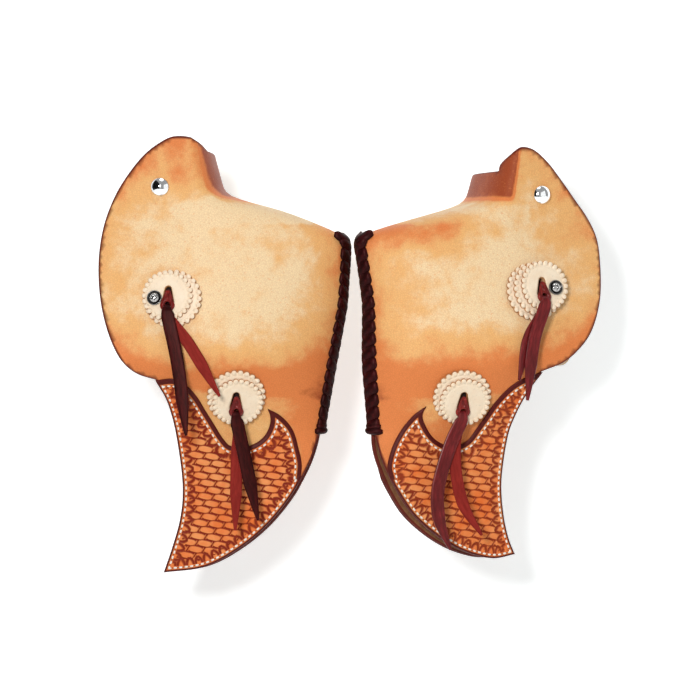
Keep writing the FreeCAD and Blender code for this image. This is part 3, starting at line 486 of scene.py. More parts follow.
def joinPieces(name, pieces):
    # one mesh from several
    verts, faces, slots, materials, uvs = [], [], [], [], []
    for piece in pieces:
        mesh, base = piece.data, len(verts)
        verts += [tuple(v.co) for v in mesh.vertices]
        materials += [m for m in mesh.materials if m not in materials]
        layer = mesh.uv_layers.active
        for polygon in mesh.polygons:
            faces.append([base + n for n in polygon.vertices])
            slots.append(materials.index(mesh.materials[polygon.material_index]))
            uvs += [tuple(layer.data[n].uv) if layer else (0, 0) for n in polygon.loop_indices]
        bpy.data.objects.remove(piece)
    made = newObject(name, verts, faces, materials, slots)
    layer = made.data.uv_layers.new(name="leather")
    layer.data.foreach_set("uv", np.array(uvs, np.float32).ravel())
    return made


def ringFaces(first, count, rings):
    return [(a, b, b + count, a + count) for ring in range(rings - 1) for a, b in
            ((first + ring * count + n, first + ring * count + (n + 1) % count)
             for n in range(count))]


def makeStrap(name, line, widths, thickness, across, materials, squareness=4.0, sideCount=16):
    # a flat strap with soft edges along a line; across is its own width's direction
    line = np.array(line)
    way = unit(np.gradient(line, axis=0))
    across = np.repeat(np.array(across, float)[None], len(line), axis=0)
    across = unit(across - way * np.sum(across * way, axis=1, keepdims=True))
    thick = np.cross(way, across)
    thicknesses = np.broadcast_to(thickness, (len(line),))
    verts, uv, gone = [], [], lengths(line)
    for k in range(len(line)):
        for n in range(sideCount):
            angle = math.tau * (n + 0.5) / sideCount
            c, s = math.cos(angle), math.sin(angle)
            wide = math.copysign(abs(c) ** (2 / squareness), c) * widths[k] / 2
            deep = math.copysign(abs(s) ** (2 / squareness), s) * thicknesses[k] / 2
            verts.append(line[k] + across[k] * wide + thick[k] * deep)
            uv.append((wide, gone[k]))
    faces = ringFaces(0, sideCount, len(line))
    faces += [tuple(range(sideCount))[::-1], tuple(range(len(verts) - sideCount, len(verts)))]
    made = newObject(name, verts, faces, materials)
    setUv(made, uv)
    return facesOutward(made)


# Finishes


def feed(tree, node, inputs):
    # links an input that is given a socket, and sets any other one
    for key, value in inputs.items():
        if isinstance(value, bpy.types.NodeSocket):
            tree.links.new(value, node.inputs[key])
        else:
            node.inputs[key].default_value = value
    return node


def addNode(tree, kind, inputs=None, **settings):
    node = tree.nodes.new(kind)
    for key, value in settings.items():
        setattr(node, key, value)
    return feed(tree, node, inputs or {})


def newMaterial(name, inputs):
    material = bpy.data.materials.new(name)
    material.use_nodes = True
    tree = material.node_tree
    return material, tree, feed(tree, tree.nodes["Principled BSDF"], inputs)


def colourMix(tree, factor, one, two):
    one, two = (c if isinstance(c, bpy.types.NodeSocket) else (*c, 1) for c in (one, two))
    return addNode(tree, "ShaderNodeMix", {0: factor, 6: one, 7: two},
                   data_type="RGBA").outputs[2]


def mathNode(tree, operation, *values, clamp=False):
    return addNode(tree, "ShaderNodeMath", dict(enumerate(values)), operation=operation,
                   use_clamp=clamp).outputs[0]


def rampNode(tree, value, low, high):
    return addNode(tree, "ShaderNodeMapRange", {"Value": value, "From Min": low,
                                                "From Max": high},
                   interpolation_type="SMOOTHSTEP").outputs["Result"]


def noiseNode(tree, vector, scale, detail=4.0, roughness=0.55, distortion=0.0):
    return addNode(tree, "ShaderNodeTexNoise", {
        "Vector": vector, "Scale": scale, "Detail": detail, "Roughness": roughness,
        "Distortion": distortion}).outputs["Fac"]


def placeNode(tree):
    return addNode(tree, "ShaderNodeTexCoord").outputs["Object"]


def stretched(tree, vector, scale):
    return addNode(tree, "ShaderNodeMapping", {"Vector": vector, "Scale": scale}).outputs[0]


def attributeNode(tree, name):
    return addNode(tree, "ShaderNodeAttribute", attribute_name=name).outputs["Fac"]


def bumpNode(tree, height, strength, distance=0.0006):
    return addNode(tree, "ShaderNodeBump", {"Height": height, "Strength": strength,
                                            "Distance": distance}).outputs["Normal"]


def makeGrainGroup():
    # shared leather grain: blotches, pores and fine speckle from one position
    group = bpy.data.node_groups.new("leatherGrain", "ShaderNodeTree")
    group.interface.new_socket(name="Position", in_out="INPUT", socket_type="NodeSocketVector")
    for name in ("Blotch", "Pores", "Speckle", "Height"):
        group.interface.new_socket(name=name, in_out="OUTPUT", socket_type="NodeSocketFloat")
    position = group.nodes.new("NodeGroupInput").outputs["Position"]
    wide = noiseNode(group, position, 17, 5, 0.62, 0.35)
    middle = noiseNode(group, position, 62, 4, 0.6)
    cells = addNode(group, "ShaderNodeTexVoronoi", feature="DISTANCE_TO_EDGE")
    feed(group, cells, {"Vector": position, "Scale": 520})
    pores = rampNode(group, cells.outputs["Distance"], 0.02, 0.2)
    bumps = mathNode(group, "MULTIPLY", noiseNode(group, position, 170, 3), 0.8)
    addNode(group, "NodeGroupOutput", {
        "Blotch": mathNode(group, "MULTIPLY_ADD", wide, 0.62,
                           mathNode(group, "MULTIPLY", middle, 0.38)),
        "Pores": pores,
        "Speckle": rampNode(group, noiseNode(group, position, 460, 3, 0.7), 0.56, 0.72),
        "Height": mathNode(group, "MULTIPLY_ADD", pores, 0.4, bumps)})
    return group


grainGroup = makeGrainGroup()


def grainIn(tree):
    place = placeNode(tree)
    return addNode(tree, "ShaderNodeGroup", node_tree=grainGroup), place


def leatherGrain(tree):
    # the group's outputs, and the place they are worked out from
    node, place = grainIn(tree)
    return feed(tree, node, {"Position": place}).outputs, place


hoodFinish = {"pale": (0.91, 0.69, 0.41), "tan": (0.86, 0.475, 0.180),
              "russet": (0.78, 0.240, 0.072), "dark": (0.34, 0.066, 0.024),
              "edge": (0.13, 0.018, 0.012), "blotch": 1.9, "tanRange": (0.08, 0.52),
              "russetRange": (0.5, 1.0), "darkRange": (1.32, 1.85), "fleck": 0.42, "pore": 0.16,
              "shine": 0.25, "tint": (1.0, 0.62, 0.42, 1)}


def hoodMaterial():
    # tone runs from 0, pale and dry, through 0.5, tan, to 1, russet; the hood's tones also paint
    # shade and highlights into it
    look = hoodFinish
    material, tree, shader = newMaterial("hoodLeather", {
        "Specular IOR Level": look["shine"], "Specular Tint": look["tint"]})
    grain = leatherGrain(tree)[0]
    uneven = mathNode(tree, "SUBTRACT", grain["Blotch"], 0.5)
    blotched = mathNode(tree, "MULTIPLY_ADD", uneven, look["blotch"],
                        attributeNode(tree, "tone"))
    colour = look["pale"]
    for name in ("tan", "russet", "dark"):
        colour = colourMix(tree, rampNode(tree, blotched, *look[f"{name}Range"]), colour,
                           look[name])
    flecks = mathNode(tree, "MULTIPLY", grain["Speckle"], look["fleck"])
    colour = colourMix(tree, flecks, colour, look["russet"])
    hollows = mathNode(tree, "MULTIPLY", mathNode(tree, "SUBTRACT", 1, grain["Pores"]),
                       look["pore"])
    colour = colourMix(tree, hollows, colour, look["dark"])
    feed(tree, shader, {
        "Base Color": colourMix(tree, attributeNode(tree, "edge"), colour, look["edge"]),
        "Roughness": mathNode(tree, "MULTIPLY_ADD", grain["Blotch"], 0.22, 0.34),
        "Normal": bumpNode(tree, grain["Height"], 0.32)})
    return material


def plainLeather(name, one, two, roughness, bump, scale=90, shine=0.35, gap=None):
    material, tree, shader = newMaterial(name, {"Roughness": roughness,
                                                "Specular IOR Level": shine})
    grain, place = leatherGrain(tree)
    patch = noiseNode(tree, place, scale, 4, 0.6, 0.2)
    colour = colourMix(tree, rampNode(tree, patch, 0.3, 0.7), one, two)
    colour = colourMix(tree, mathNode(tree, "MULTIPLY", grain["Speckle"], 0.25), colour,
                       tuple(c * 0.5 for c in one))
    # gap: a colour laid where the attribute says; on the rosettes it is painted shade
    if gap:
        colour = colourMix(tree, attributeNode(tree, "ink"), colour, gap)
    feed(tree, shader, {"Base Color": colour, "Normal": bumpNode(tree, grain["Height"], bump)})
    return material


# the lighter colour, laid at random on the raised leather, is partly wear and partly a painted
# highlight
stampFinish = {"raised": (0.79, 0.165, 0.032), "wornAndHighlight": (0.90, 0.36, 0.125),
               "sunk": (0.22, 0.018, 0.005), "dye": (0.085, 0.008, 0.006), "roughness": 0.40,
               "shine": 0.12}


def stampedMaterial():
    look = stampFinish
    material, tree, shader = newMaterial("stampedLeather", {
        "Roughness": look["roughness"], "Specular IOR Level": look["shine"]})
    grain = leatherGrain(tree)[0]
    colour = colourMix(tree, rampNode(tree, grain["Blotch"], 0.35, 0.7), look["raised"],
                       look["wornAndHighlight"])
    share = mathNode(tree, "MULTIPLY_ADD", grain["Blotch"], 0.5, 0.75)
    uneven = mathNode(tree, "MULTIPLY", attributeNode(tree, "ink"), share, clamp=True)
    colour = colourMix(tree, uneven, colour, look["sunk"])
    feed(tree, shader, {
        "Base Color": colourMix(tree, attributeNode(tree, "dye"), colour, look["dye"]),
        "Normal": bumpNode(tree, grain["Height"], 0.25, 0.0005)})
    return material


def latigoMaterial(name, one, two, roughness, coat, shine):
    material, tree, shader = newMaterial(name, {
        "Roughness": roughness, "Coat Weight": coat, "Coat Roughness": 0.2,
        "Specular IOR Level": shine, "Specular Tint": (1.0, 0.45, 0.42, 1)})
    grain = leatherGrain(tree)[0]
    uv = addNode(tree, "ShaderNodeUVMap", uv_map="leather").outputs["UV"]
    streak = noiseNode(tree, stretched(tree, uv, (1, 0.16, 1)), 420, 4, 0.65)
    colour = colourMix(tree, rampNode(tree, streak, 0.3, 0.72), two, one)
    feed(tree, shader, {
        "Base Color": colourMix(tree, rampNode(tree, grain["Blotch"], 0.35, 0.75), colour, two),
        "Normal": bumpNode(tree, streak, 0.25, 0.0005)})
    return material


def metalMaterial(name, colour, roughness):
    material, tree, shader = newMaterial(name, {"Metallic": 1.0})
    haze = noiseNode(tree, placeNode(tree), 900, 3, 0.6)
    feed(tree, shader, {
        "Base Color": colourMix(tree, rampNode(tree, haze, 0.35, 0.7), colour,
                                tuple(c * 0.82 for c in colour)),
        "Roughness": mathNode(tree, "MULTIPLY_ADD", haze, roughness, roughness * 0.5)})
    return material


def woodMaterial(name, light, dark, axisScale):
    material, tree, shader = newMaterial(name, {"Roughness": 0.42})
    place = stretched(tree, placeNode(tree), axisScale)
    rings = noiseNode(tree, place, 30, 6, 0.6, 1.4)
    fibre = mathNode(tree, "MULTIPLY", noiseNode(tree, place, 260, 3, 0.7), 0.3)
    tone = mathNode(tree, "MULTIPLY_ADD", rings, 0.7, fibre)
    feed(tree, shader, {
        "Base Color": colourMix(tree, rampNode(tree, tone, 0.34, 0.66), dark, light),
        "Normal": bumpNode(tree, tone, 0.2)})
    return material


hoodGrain, stampedFace = hoodMaterial(), stampedMaterial()
# the flesh side, its own tan darkened: painted shade for the insides of the hoods
shadedFleshSide = plainLeather("shadedFleshSide", (0.21, 0.085, 0.036), (0.29, 0.13, 0.058), 0.85, 0.5, 150,
                         0.2)
hoodEdge = plainLeather("burnishedEdge", (0.16, 0.022, 0.012), (0.10, 0.013, 0.008), 0.45, 0.2,
                        90, 0.12)
stampedEdge = plainLeather("dyedEdge", (0.085, 0.009, 0.007), (0.12, 0.014, 0.010), 0.42, 0.15,
                           90, 0.12)
# cream face, and a brown that paints shade into the notches between the scallops and along the rim
rosetteFace = plainLeather("rosetteLeather", (0.94, 0.78, 0.59), (0.91, 0.72, 0.52), 0.55, 0.22,
                           110, 0.3, (0.42, 0.19, 0.07))
# the rosettes' cut edges in dark brown: painted shade along the scallops
shadedRosetteEdge = plainLeather("shadedRosetteEdge", (0.42, 0.17, 0.06), (0.56, 0.28, 0.12), 0.6, 0.2)
slotShade = plainLeather("slotShade", (0.02, 0.008, 0.006), (0.03, 0.012, 0.01), 0.9, 0.1)
soleLeather = plainLeather("soleLeather", (0.34, 0.17, 0.08), (0.24, 0.11, 0.05), 0.7, 0.5)
thread = plainLeather("waxedThread", (0.95, 0.93, 0.86), (0.88, 0.84, 0.74), 0.6, 0.1, 600)
latigoShine = latigoMaterial("latigoGrain", (0.070, 0.005, 0.005), (0.011, 0.001, 0.001), 0.42,
                             0.0, 0.14)
# a lighter copy of the latigo for the right stirrup's tails: painted sheen
latigoPaintedSheen = latigoMaterial("latigoPaintedSheen", (0.25, 0.020, 0.022), (0.07, 0.005, 0.006), 0.36, 0.1,
                            0.3)
latigoSuede = latigoMaterial("latigoFlesh", (0.34, 0.032, 0.024), (0.20, 0.017, 0.013), 0.8, 0.0,
                             0.15)
latigoKnot = latigoMaterial("latigoKnot", (0.30, 0.024, 0.018), (0.08, 0.005, 0.005), 0.32, 0.12,
                            0.25)
laceLeather = latigoMaterial("laceLeather", (0.055, 0.004, 0.005), (0.006, 0.001, 0.0012), 0.42,
                             0.0, 0.18)
chrome = metalMaterial("chrome", (0.90, 0.91, 0.92), 0.09)
screwSteel = metalMaterial("screwSteel", (0.46, 0.45, 0.44), 0.16)
darkMetal = metalMaterial("darkMetal", (0.19, 0.18, 0.17), 0.3)
steel = metalMaterial("steel", (0.62, 0.62, 0.63), 0.3)
bowWood = woodMaterial("bowWood", (0.62, 0.38, 0.18), (0.38, 0.20, 0.085), (1.6, 0.5, 0.16))
rollerWood = woodMaterial("rollerWood", (0.66, 0.44, 0.24), (0.44, 0.26, 0.12), (1.5, 0.2, 1.5))
print("materials ready")

# The moulded hood. Its tones: amounts of colour, some of them painted shade and highlights, and the
# shares where they lie

hoodTone = {
    "base": 0.25, "most": 1.08, "panel": 0.20, "panelX": (0.58, 0.27), "panelZ": (0.64, 0.10),
    "crease": 0.432, "creaseDrop": 0.02, "dropX": (0.3, 0.65), "creaseWave": (0.004, 19),
    "swell": {"left": 0.98, "right": 1.12}, "swellWave": (0.86, 0.14, 11, 1.1),
    "above": {"left": 0.084, "right": 0.104}, "under": 0.009,
    "below": {"left": 0.32, "right": 0.50}, "neck": {"left": 0.34, "right": 0.14},
    "neckZ": (0.84, 0.93), "wall": {"left": (0.55, 0.92), "right": (0.02, 0.26)},
    "neckWallShade": 1.45, "neckWallShadeZ": (0.846, 0.866), "roofHighlight": 0.16, "roofHighlightZ": (0.825, 0.022),
    "roofHighlightX": 0.3, "roof": {"left": 0.0, "right": 0.42}, "foldZ": 0.775, "foldRise": 0.22,
    "foldX": 0.72, "foldMost": 0.2, "foldWidth": 0.03, "roofX": (0.45, 0.65),
    "edge": 0.46, "edgeReach": 0.015, "lace": 0.66, "laceReach": 0.022, "laceZ": 0.80,
    "rim": 0.9, "rimReach": 0.0013, "toe": 0.002,
}


def hoodLoop(side, step):
    def flat(points, sign):
        return np.stack([sign * unrolled(side, points[:, 0], points[:, 1]), points[:, 1]],
                        axis=-1)

    # the far panel ends lower at the neck than the one in front
    shares = outlines[side]
    begin, split = hood["farRear"][side]
    far = joined(shareCurve(shares["farTop"] + shares["rear"][begin:split + 1], step),
                 shareCurve(shares["rear"][split:], step),
                 shareCurve(shares["wingRear"], step), shareCurve(shares["wingFront"], step))
    run, other = flat(panelEdge(side, step), 1), flat(far, -1)[::-1]
    toe = respaced(np.array([run[-1], other[0]]), step)[1:-1]
    neck = respaced(np.array([other[-1], run[0]]), step)[1:-1]
    return np.vstack([run, toe, other, neck])


def hoodValues(side):
    look, edgeLine = hoodTone, panelEdge(side, hood["toneStep"])

    def values(uv):
        x, y, z = surfacePoints(side, uv[:, 0], uv[:, 1]).T
        sx = x / hood["length"] + hood["neck"][0]
        sz = z / hood["height"] + hood["neck"][1]
        away = lineDistance(np.stack([x, z], axis=-1), edgeLine)[0]
        half, nose, straight, square = sectionAt(side, z)
        # paler in the middle of the outer panel: a painted highlight
        tone = look["base"] - look["panel"] * bell(sx, *look["panelX"]) \
            * bell(sz, *look["panelZ"])
        # the leather turns in under the tread: a russet band above the crease, partly the leather's
        # own russet and partly painted shade under the bulge, paler below it
        wave, pace = look["creaseWave"]
        crease = look["crease"] - look["creaseDrop"] * rise(sx, *look["dropX"]) \
            + wave * np.sin(sx * pace)
        steady, wave, pace, phase = look["swellWave"]
        reach = np.where(sz > crease, look["above"][side], look["under"])
        tone += look["swell"][side] * (steady + wave * np.sin(sx * pace + phase)) \
            * bell(sz, crease, reach)
        tone = np.minimum(tone + look["below"][side] * (sz < crease), look["most"])
        # darker top of the neck, painted shade on its front wall, a painted highlight on the roof
        # just under the neck, and painted shade along the roof's fold, there partly the leather's
        # own russet
        tone += look["neck"][side] * rise(sz, *look["neckZ"])
        tone += look["neckWallShade"] * rise(sz, *look["neckWallShadeZ"]) \
            * rise((x - straight) / (nose - straight), *look["wall"][side])
        # the painted highlight on the roof under the neck
        tone -= look["roofHighlight"] * bell(sz, *look["roofHighlightZ"]) * (sx > look["roofHighlightX"])
        fold = look["foldZ"] + look["foldRise"] * np.clip(look["foldX"] - sx, 0, look["foldMost"])
        tone += look["roof"][side] * bell(sz, fold, look["foldWidth"]) \
            * rise(sx, *look["roofX"])
        # darker towards the edges and towards the lacing
        tone += look["edge"] * np.exp(-away / look["edgeReach"])
        tone += look["lace"] * np.exp(-(nose - x) / look["laceReach"]) * (sz < look["laceZ"])
        edge = look["rim"] * bell(away, 0, look["rimReach"])
        return {"tone": tone, "edge": np.where(nose - x < look["toe"], 0, edge)}
    return values


for side in sides:
    made = makePlate(f"{side}_hood_leather", [hoodLoop(side, hood["edgeStep"])],
                     onHood(side, 0.0), hood["leather"], hood["edgeRound"], hood["spacing"],
                     [hoodGrain, hoodEdge, shadedFleshSide], values=hoodValues(side))
    dress(made, "frame", "hood_leather", f"{side}_hood")
print("hoods ready")

# Stamped overlays on the wings: a weave of cells and slanting bars, stamps along the edges

overlay = {
    "gap": 0.0003, "leather": 0.0026, "edgeRound": 0.0009, "step": 0.0011, "wingEnd": 0.02,
    "spacing": {"outer": 0.00056, "inner": 0.0011},
    "innerBand": 0.0042, "outerBand": 0.0020, "innerStitch": 0.0059, "outerStitch": 0.0035,
    "stampPitch": 0.0090, "stampDepth": 0.0064, "stampHalf": 0.0034, "stampStroke": 0.0011,
    "stampGap": 0.0012, "cellAcross": (0.0147, -0.0014), "cellDown": (0.0061, -0.0069),
    "cellTilt": -13, "cellHalf": (0.0064, 0.0029), "cellPowers": (3.4, 2.6), "cellLean": 0.38,
    "bars": (-0.00125, 0.00125), "barSlant": 56, "barHalf": (0.0036, 0.00075), "barInk": 0.30,
    "sink": 0.0012, "inkShareForLight": {"left": 1.12, "right": 0.92},
    "archFrom": 0.0004, "archPower": 2.3, "strokeGrows": 0.7, "strokeEdge": 1.5,
    "archPast": 0.001, "fieldFrom": 0.62, "fieldWave": 0.0022, "seamBand": 0.0008,
    "dyeSoft": 0.0005, "seamDye": (0.75, 0.0007), "bevel": (0.0009, 1.5),
    "seamGroove": (0.0004, 0.0006), "bandGroove": (0.00035, 0.0005),
    "cellEdge": (0.66, 1.02), "barEdge": (0.5, 1.0),
}
stitch = {"pitch": 0.0051, "length": 0.0034, "radius": 0.00095, "stand": 0.00005,
          "every": 6, "least": 18, "step": 0.0012, "keep": 0.96}


def turnedBy(d, degrees):
    c, s = math.cos(math.radians(degrees)), math.sin(math.radians(degrees))
    return d[:, 0] * c + d[:, 1] * s, -d[:, 0] * s + d[:, 1] * c


def basketPattern(side, x, z):
    # 1 in the sunk background, 0 on the raised cells of the weave
    a, b = np.array(overlay["cellAcross"]), np.array(overlay["cellDown"])
    p = np.stack([x if side == "left" else -x, z], axis=-1)
    base = np.floor(p @ np.linalg.inv(np.stack([a, b], axis=-1)).T)
    (halfLong, halfShort), (powerLong, powerShort) = overlay["cellHalf"], overlay["cellPowers"]
    barLong, barShort = overlay["barHalf"]
    sunk = np.ones(len(p))
    for i in (0, 1):
        for j in (-1, 0, 1, 2):
            home = base + (i, j)
            d = p - (home[:, :1] * a + home[:, 1:] * b)
            u, v = turnedBy(d, overlay["cellTilt"])
            u = u - overlay["cellLean"] * v
            r = np.abs(u / halfLong) ** powerLong + np.abs(v / halfShort) ** powerShort
            sunk = np.minimum(sunk, rise(r, *overlay["cellEdge"]))
            # two short slanting bars between neighbours of a row
            for bar in overlay["bars"]:
                u, v = turnedBy(d - a / 2 - (bar, 0), overlay["barSlant"])
                r = (u / barLong) ** 2 + (v / barShort) ** 2
                sunk = np.minimum(sunk, overlay["barInk"] + rise(r, *overlay["barEdge"]))
    return np.clip(sunk, 0, 1)


def overlayPattern(side, uv, inner, outer):
    toInner, alongInner = lineDistance(uv, inner)
    toOuter, alongOuter = lineDistance(uv, outer)
    pastInner = toInner - overlay["innerStitch"] - overlay["stampGap"]
    pastOuter = toOuter - overlay["outerStitch"] - overlay["stampGap"]
    past = np.minimum(pastInner, pastOuter)
    along = np.where(pastInner < pastOuter, alongInner, alongOuter)
    pitch, depth = overlay["stampPitch"], overlay["stampDepth"]
    aside = np.abs((along / pitch) % 1 - 0.5) * pitch
    arch = np.clip((past - overlay["archFrom"]) / depth, 0, 1) ** overlay["archPower"]
    arm = overlay["stampHalf"] * (1 - arch)
    stroke = overlay["stampStroke"] * (1 + overlay["strokeGrows"] * np.clip(past / depth, 0, 1))
    mark = np.clip(overlay["strokeEdge"] - np.abs(aside - arm) / stroke, 0, 1) \
        * (past > 0) * (past < depth + overlay["archPast"])
    field = past > depth * overlay["fieldFrom"] \
        + overlay["fieldWave"] * np.cos(2 * np.pi * along / pitch)
    ink = np.clip(np.maximum(mark, basketPattern(side, *uv.T) * field), 0, 1)
    line = np.minimum(np.abs(toInner - overlay["innerStitch"]),
                      np.abs(toOuter - overlay["outerStitch"]))
    line = np.where(past < -overlay["seamBand"], line, 1)
    soft, (most, wide) = overlay["dyeSoft"], overlay["seamDye"]
    dye = np.maximum(np.clip((overlay["innerBand"] - toInner) / soft + 0.5, 0, 1),
                     np.clip((overlay["outerBand"] - toOuter) / soft + 0.5, 0, 1))
    dye = np.maximum(dye, most * bell(line, 0, wide))
    deep, power = overlay["bevel"]
    lift = -overlay["sink"] * ink \
        - deep * np.clip(1 - toInner / overlay["innerBand"], 0, 1) ** power
    deep, wide = overlay["seamGroove"]
    lift -= deep * bell(line, 0, wide)
    deep, wide = overlay["bandGroove"]
    lift -= deep * bell(toInner, overlay["innerBand"], wide)
    # the left overlay takes more of the sunk colour and the right one less: painted light for how
    # the light falls differently on the two
    return np.clip(ink * overlay["inkShareForLight"][side], 0, 1), dye, lift


def overlayLines(side, step):
    shares = outlines[side]
    end = shares["front"][-1]
    wing = [s for s in shares["wingFront"] if s[1] < end[1] - overlay["wingEnd"]]
    inner = joined(shareCurve(shares["notch"], step), shareCurve(shares["front"], step))
    outer = joined(shareCurve(shares["notch"][:1] + shares["wingRear"][1:], step),
                   shareCurve(wing + [end], step))
    return inner, outer


def stitchRuns(inner, outer, loop):
    # lines of stitching inside the edges, broken where another edge comes nearer
    runs, keep = [], stitch["keep"]
    for line, inset in ((inner, overlay["innerStitch"]), (outer, overlay["outerStitch"])):
        way = unit(np.gradient(line, axis=0))
        aside = np.stack([way[:, 1], -way[:, 0]], axis=-1)
        if not insideLoop((line + aside * 0.001)[len(line) // 2][None], loop)[0]:
            aside = -aside
        moved = line + aside * inset
        good = insideLoop(moved, loop) \
            & (lineDistance(moved, inner)[0] > overlay["innerStitch"] * keep) \
            & (lineDistance(moved, outer)[0] > overlay["outerStitch"] * keep)
        breaks = np.flatnonzero(np.diff(good)) + 1
        runs += [run for run, fine in zip(np.split(moved, breaks), np.split(good, breaks))
                 if fine[0] and len(run) > stitch["least"]]
    return [smoothPath(np.vstack([run[::stitch["every"]], run[-1:]]), stitch["step"])
            for run in runs]


def beadTree(name, inputs, detail, material, alongLine):
    # a bead on each place of a line: spaced out and turned along it, or one on each of its
    # points and turned as the inputs Out X, Out Y and Out Z say
    tree = bpy.data.node_groups.new(name, "GeometryNodeTree")
    for end in ("INPUT", "OUTPUT"):
        tree.interface.new_socket(name="Geometry", in_out=end, socket_type="NodeSocketGeometry")
    for key in inputs:
        tree.interface.new_socket(name=key, in_out="INPUT", socket_type="NodeSocketFloat")
    given = tree.nodes.new("NodeGroupInput").outputs
    line = {"Curve": given["Geometry"]}
    if alongLine:
        spots = addNode(tree, "GeometryNodeResampleCurve", mode="LENGTH")
        feed(tree, spots, {**line, "Length": given["Pitch"]})
        way = addNode(tree, "GeometryNodeInputTangent")
    else:
        spots = addNode(tree, "GeometryNodeCurveToPoints", line, mode="EVALUATED")
        way = addNode(tree, "ShaderNodeCombineXYZ", {a: given[f"Out {a}"] for a in "XYZ"})
    size = addNode(tree, "ShaderNodeCombineXYZ", {"X": given["Radius"], "Y": given["Radius"],
                                                  "Z": given["Height"]})
    bead = addNode(tree, "GeometryNodeMeshUVSphere", {"Segments": detail[0], "Rings": detail[1]})
    shaped = addNode(tree, "GeometryNodeTransform", {"Geometry": bead.outputs["Mesh"],
                                                     "Scale": size.outputs["Vector"]})
    aim = addNode(tree, "FunctionNodeAlignRotationToVector", {"Vector": way.outputs[0]},
                  axis="Z")
    placed = addNode(tree, "GeometryNodeInstanceOnPoints", {
        "Points": spots.outputs[0], "Instance": shaped.outputs["Geometry"],
        "Rotation": aim.outputs["Rotation"]})
    real = addNode(tree, "GeometryNodeRealizeInstances", {"Geometry": placed.outputs[0]})
    dressed = addNode(tree, "GeometryNodeSetMaterial", {"Geometry": real.outputs[0],
                                                        "Material": material})
    addNode(tree, "NodeGroupOutput", {"Geometry": dressed.outputs["Geometry"]})
    return tree


def bakeCurves(name, lines, tree, inputs):
    # runs a node tree on a bundle of lines and keeps the result as a plain mesh
    curve = bpy.data.curves.new(name + "_path", "CURVE")
    curve.dimensions = "3D"
    for line in lines:
        spline = curve.splines.new("POLY")
        spline.points.add(len(line) - 1)
        spline.points.foreach_set("co", np.hstack([line, np.ones((len(line), 1))]).ravel())
    holder = addObject(name + "_path", curve)
    modifier = holder.modifiers.new("run", "NODES")
    modifier.node_group = tree
    for item in tree.interface.items_tree:
        if item.in_out == "INPUT" and item.name in inputs:
            modifier[item.identifier] = inputs[item.name]
    bpy.context.view_layer.update()
    depsgraph = bpy.context.evaluated_depsgraph_get()
    mesh = bpy.data.meshes.new_from_object(holder.evaluated_get(depsgraph))
    mesh.name = name
    mesh.polygons.foreach_set("use_smooth", [True] * len(mesh.polygons))
    holder.modifiers.remove(modifier)
    bpy.data.objects.remove(holder)
    return addObject(name, mesh)


stitchInputs = {"Pitch": stitch["pitch"], "Radius": stitch["radius"],
                "Height": stitch["length"] / 2}
stitchNodes = beadTree("stitches", stitchInputs, (10, 8), thread, True)

for side in sides:
    inner, outer = overlayLines(side, overlay["step"])
    loop = joined(inner, outer[::-1])
    runs = stitchRuns(inner, outer, loop)
    offset = overlay["gap"] + overlay["leather"]

    def relief(uv):
        return overlayPattern(side, uv, inner, outer)[2]

    def marks(uv):
        return dict(zip(("ink", "dye"), overlayPattern(side, uv, inner, outer)))

    for word in ("outer", "inner"):
        outward = word == "outer"
        made = makePlate(f"{side}_{word}_overlay_leather", [loop], onPanel(side, offset, outward),
                         overlay["leather"], overlay["edgeRound"], overlay["spacing"][word],
                         [stampedFace, stampedEdge, shadedFleshSide], relief, marks)
        dress(made, "frame", "stamped_leather", f"{side}_{word}_overlay")
        seam = onPanel(side, offset + stitch["stand"], outward)
        made = bakeCurves(f"{side}_{word}_stitches", [seam(run)[0] for run in runs], stitchNodes,
                          stitchInputs)
        dress(made, "frame", "stamped_leather")
print("overlays ready")

# Rosettes, their slots and the bleed knots

rosette = {
    "leather": 0.0030, "gap": 0.0003, "radius": {"back": 0.0275, "middle": 0.0260, "front": 0.0240},
    "scallops": 26, "depth": 0.0021, "fan": 0.0022, "spacing": 0.0007, "edgeRound": 0.0008,
    "bead": 0.0024, "beadHeight": 0.0013, "beadInset": 0.0024, "beadSink": 0.00035,
    "ringInset": 0.0056,
    "layers": {"left_upper": ["back", "front"], "left_lower": ["back", "front"],
               "right_upper": ["back", "middle", "front"], "right_lower": ["back", "front"]},
    "fanWay": {"left_upper": (1.0, -0.5), "left_lower": (-0.3, 0.9),
               "right_upper": (1.0, -0.5), "right_lower": (0.5, 0.9)},
    "lobePower": 0.55, "points": 14, "ringGroove": (0.0004, 0.0006),
    "slope": (0.0007, 0.0016), "pleat": (0.0009, 0.0052, 0.002, 8),
    "slotGroove": (0.0007, 0.0011), "pleatShade": (0.95, 0.0046, 0.002, 5),
    "rimShade": (0.45, 0.0012),
}
slot = {"length": 0.020, "half": 0.0052, "crown": 0.0028, "showing": 0.0034}
slotShadeSheet = {"lift": 0.0012, "thickness": 0.001, "edgeRound": 0.0003, "spacing": 0.002}
knot = {"length": 0.0215, "half": 0.0070, "eye": 0.0028, "eyeWidth": 0.8, "thickness": 0.0028,
        "spacing": 0.0007, "crown": 0.0030, "edgeRound": 0.0011,
        "coil": (0.0007, 0.0042, 0.0014), "crease": (0.0009, 0.0007, 3),
        "fall": (0.0042, 1.6), "fallFrom": 0.003, "fallOver": 0.012}
knotFoot = slot["length"] / 2 - slot["showing"] - knot["length"]
eyeHeight = knotFoot + knot["half"]


def teardrop(form, lower, steps=12, spacing=0.0011):
    points = []
    for middle, radius, first in ((form["length"] - form["crown"], form["crown"], 0),
                                  (form["half"], form["half"], 180)):
        for step in range(steps + 1):
            angle = math.radians(first + 180 * step / steps)
            points.append((radius * math.cos(angle), lower + middle + radius * math.sin(angle)))
    return respaced(np.array(points + points[:1]), spacing)[:-1]


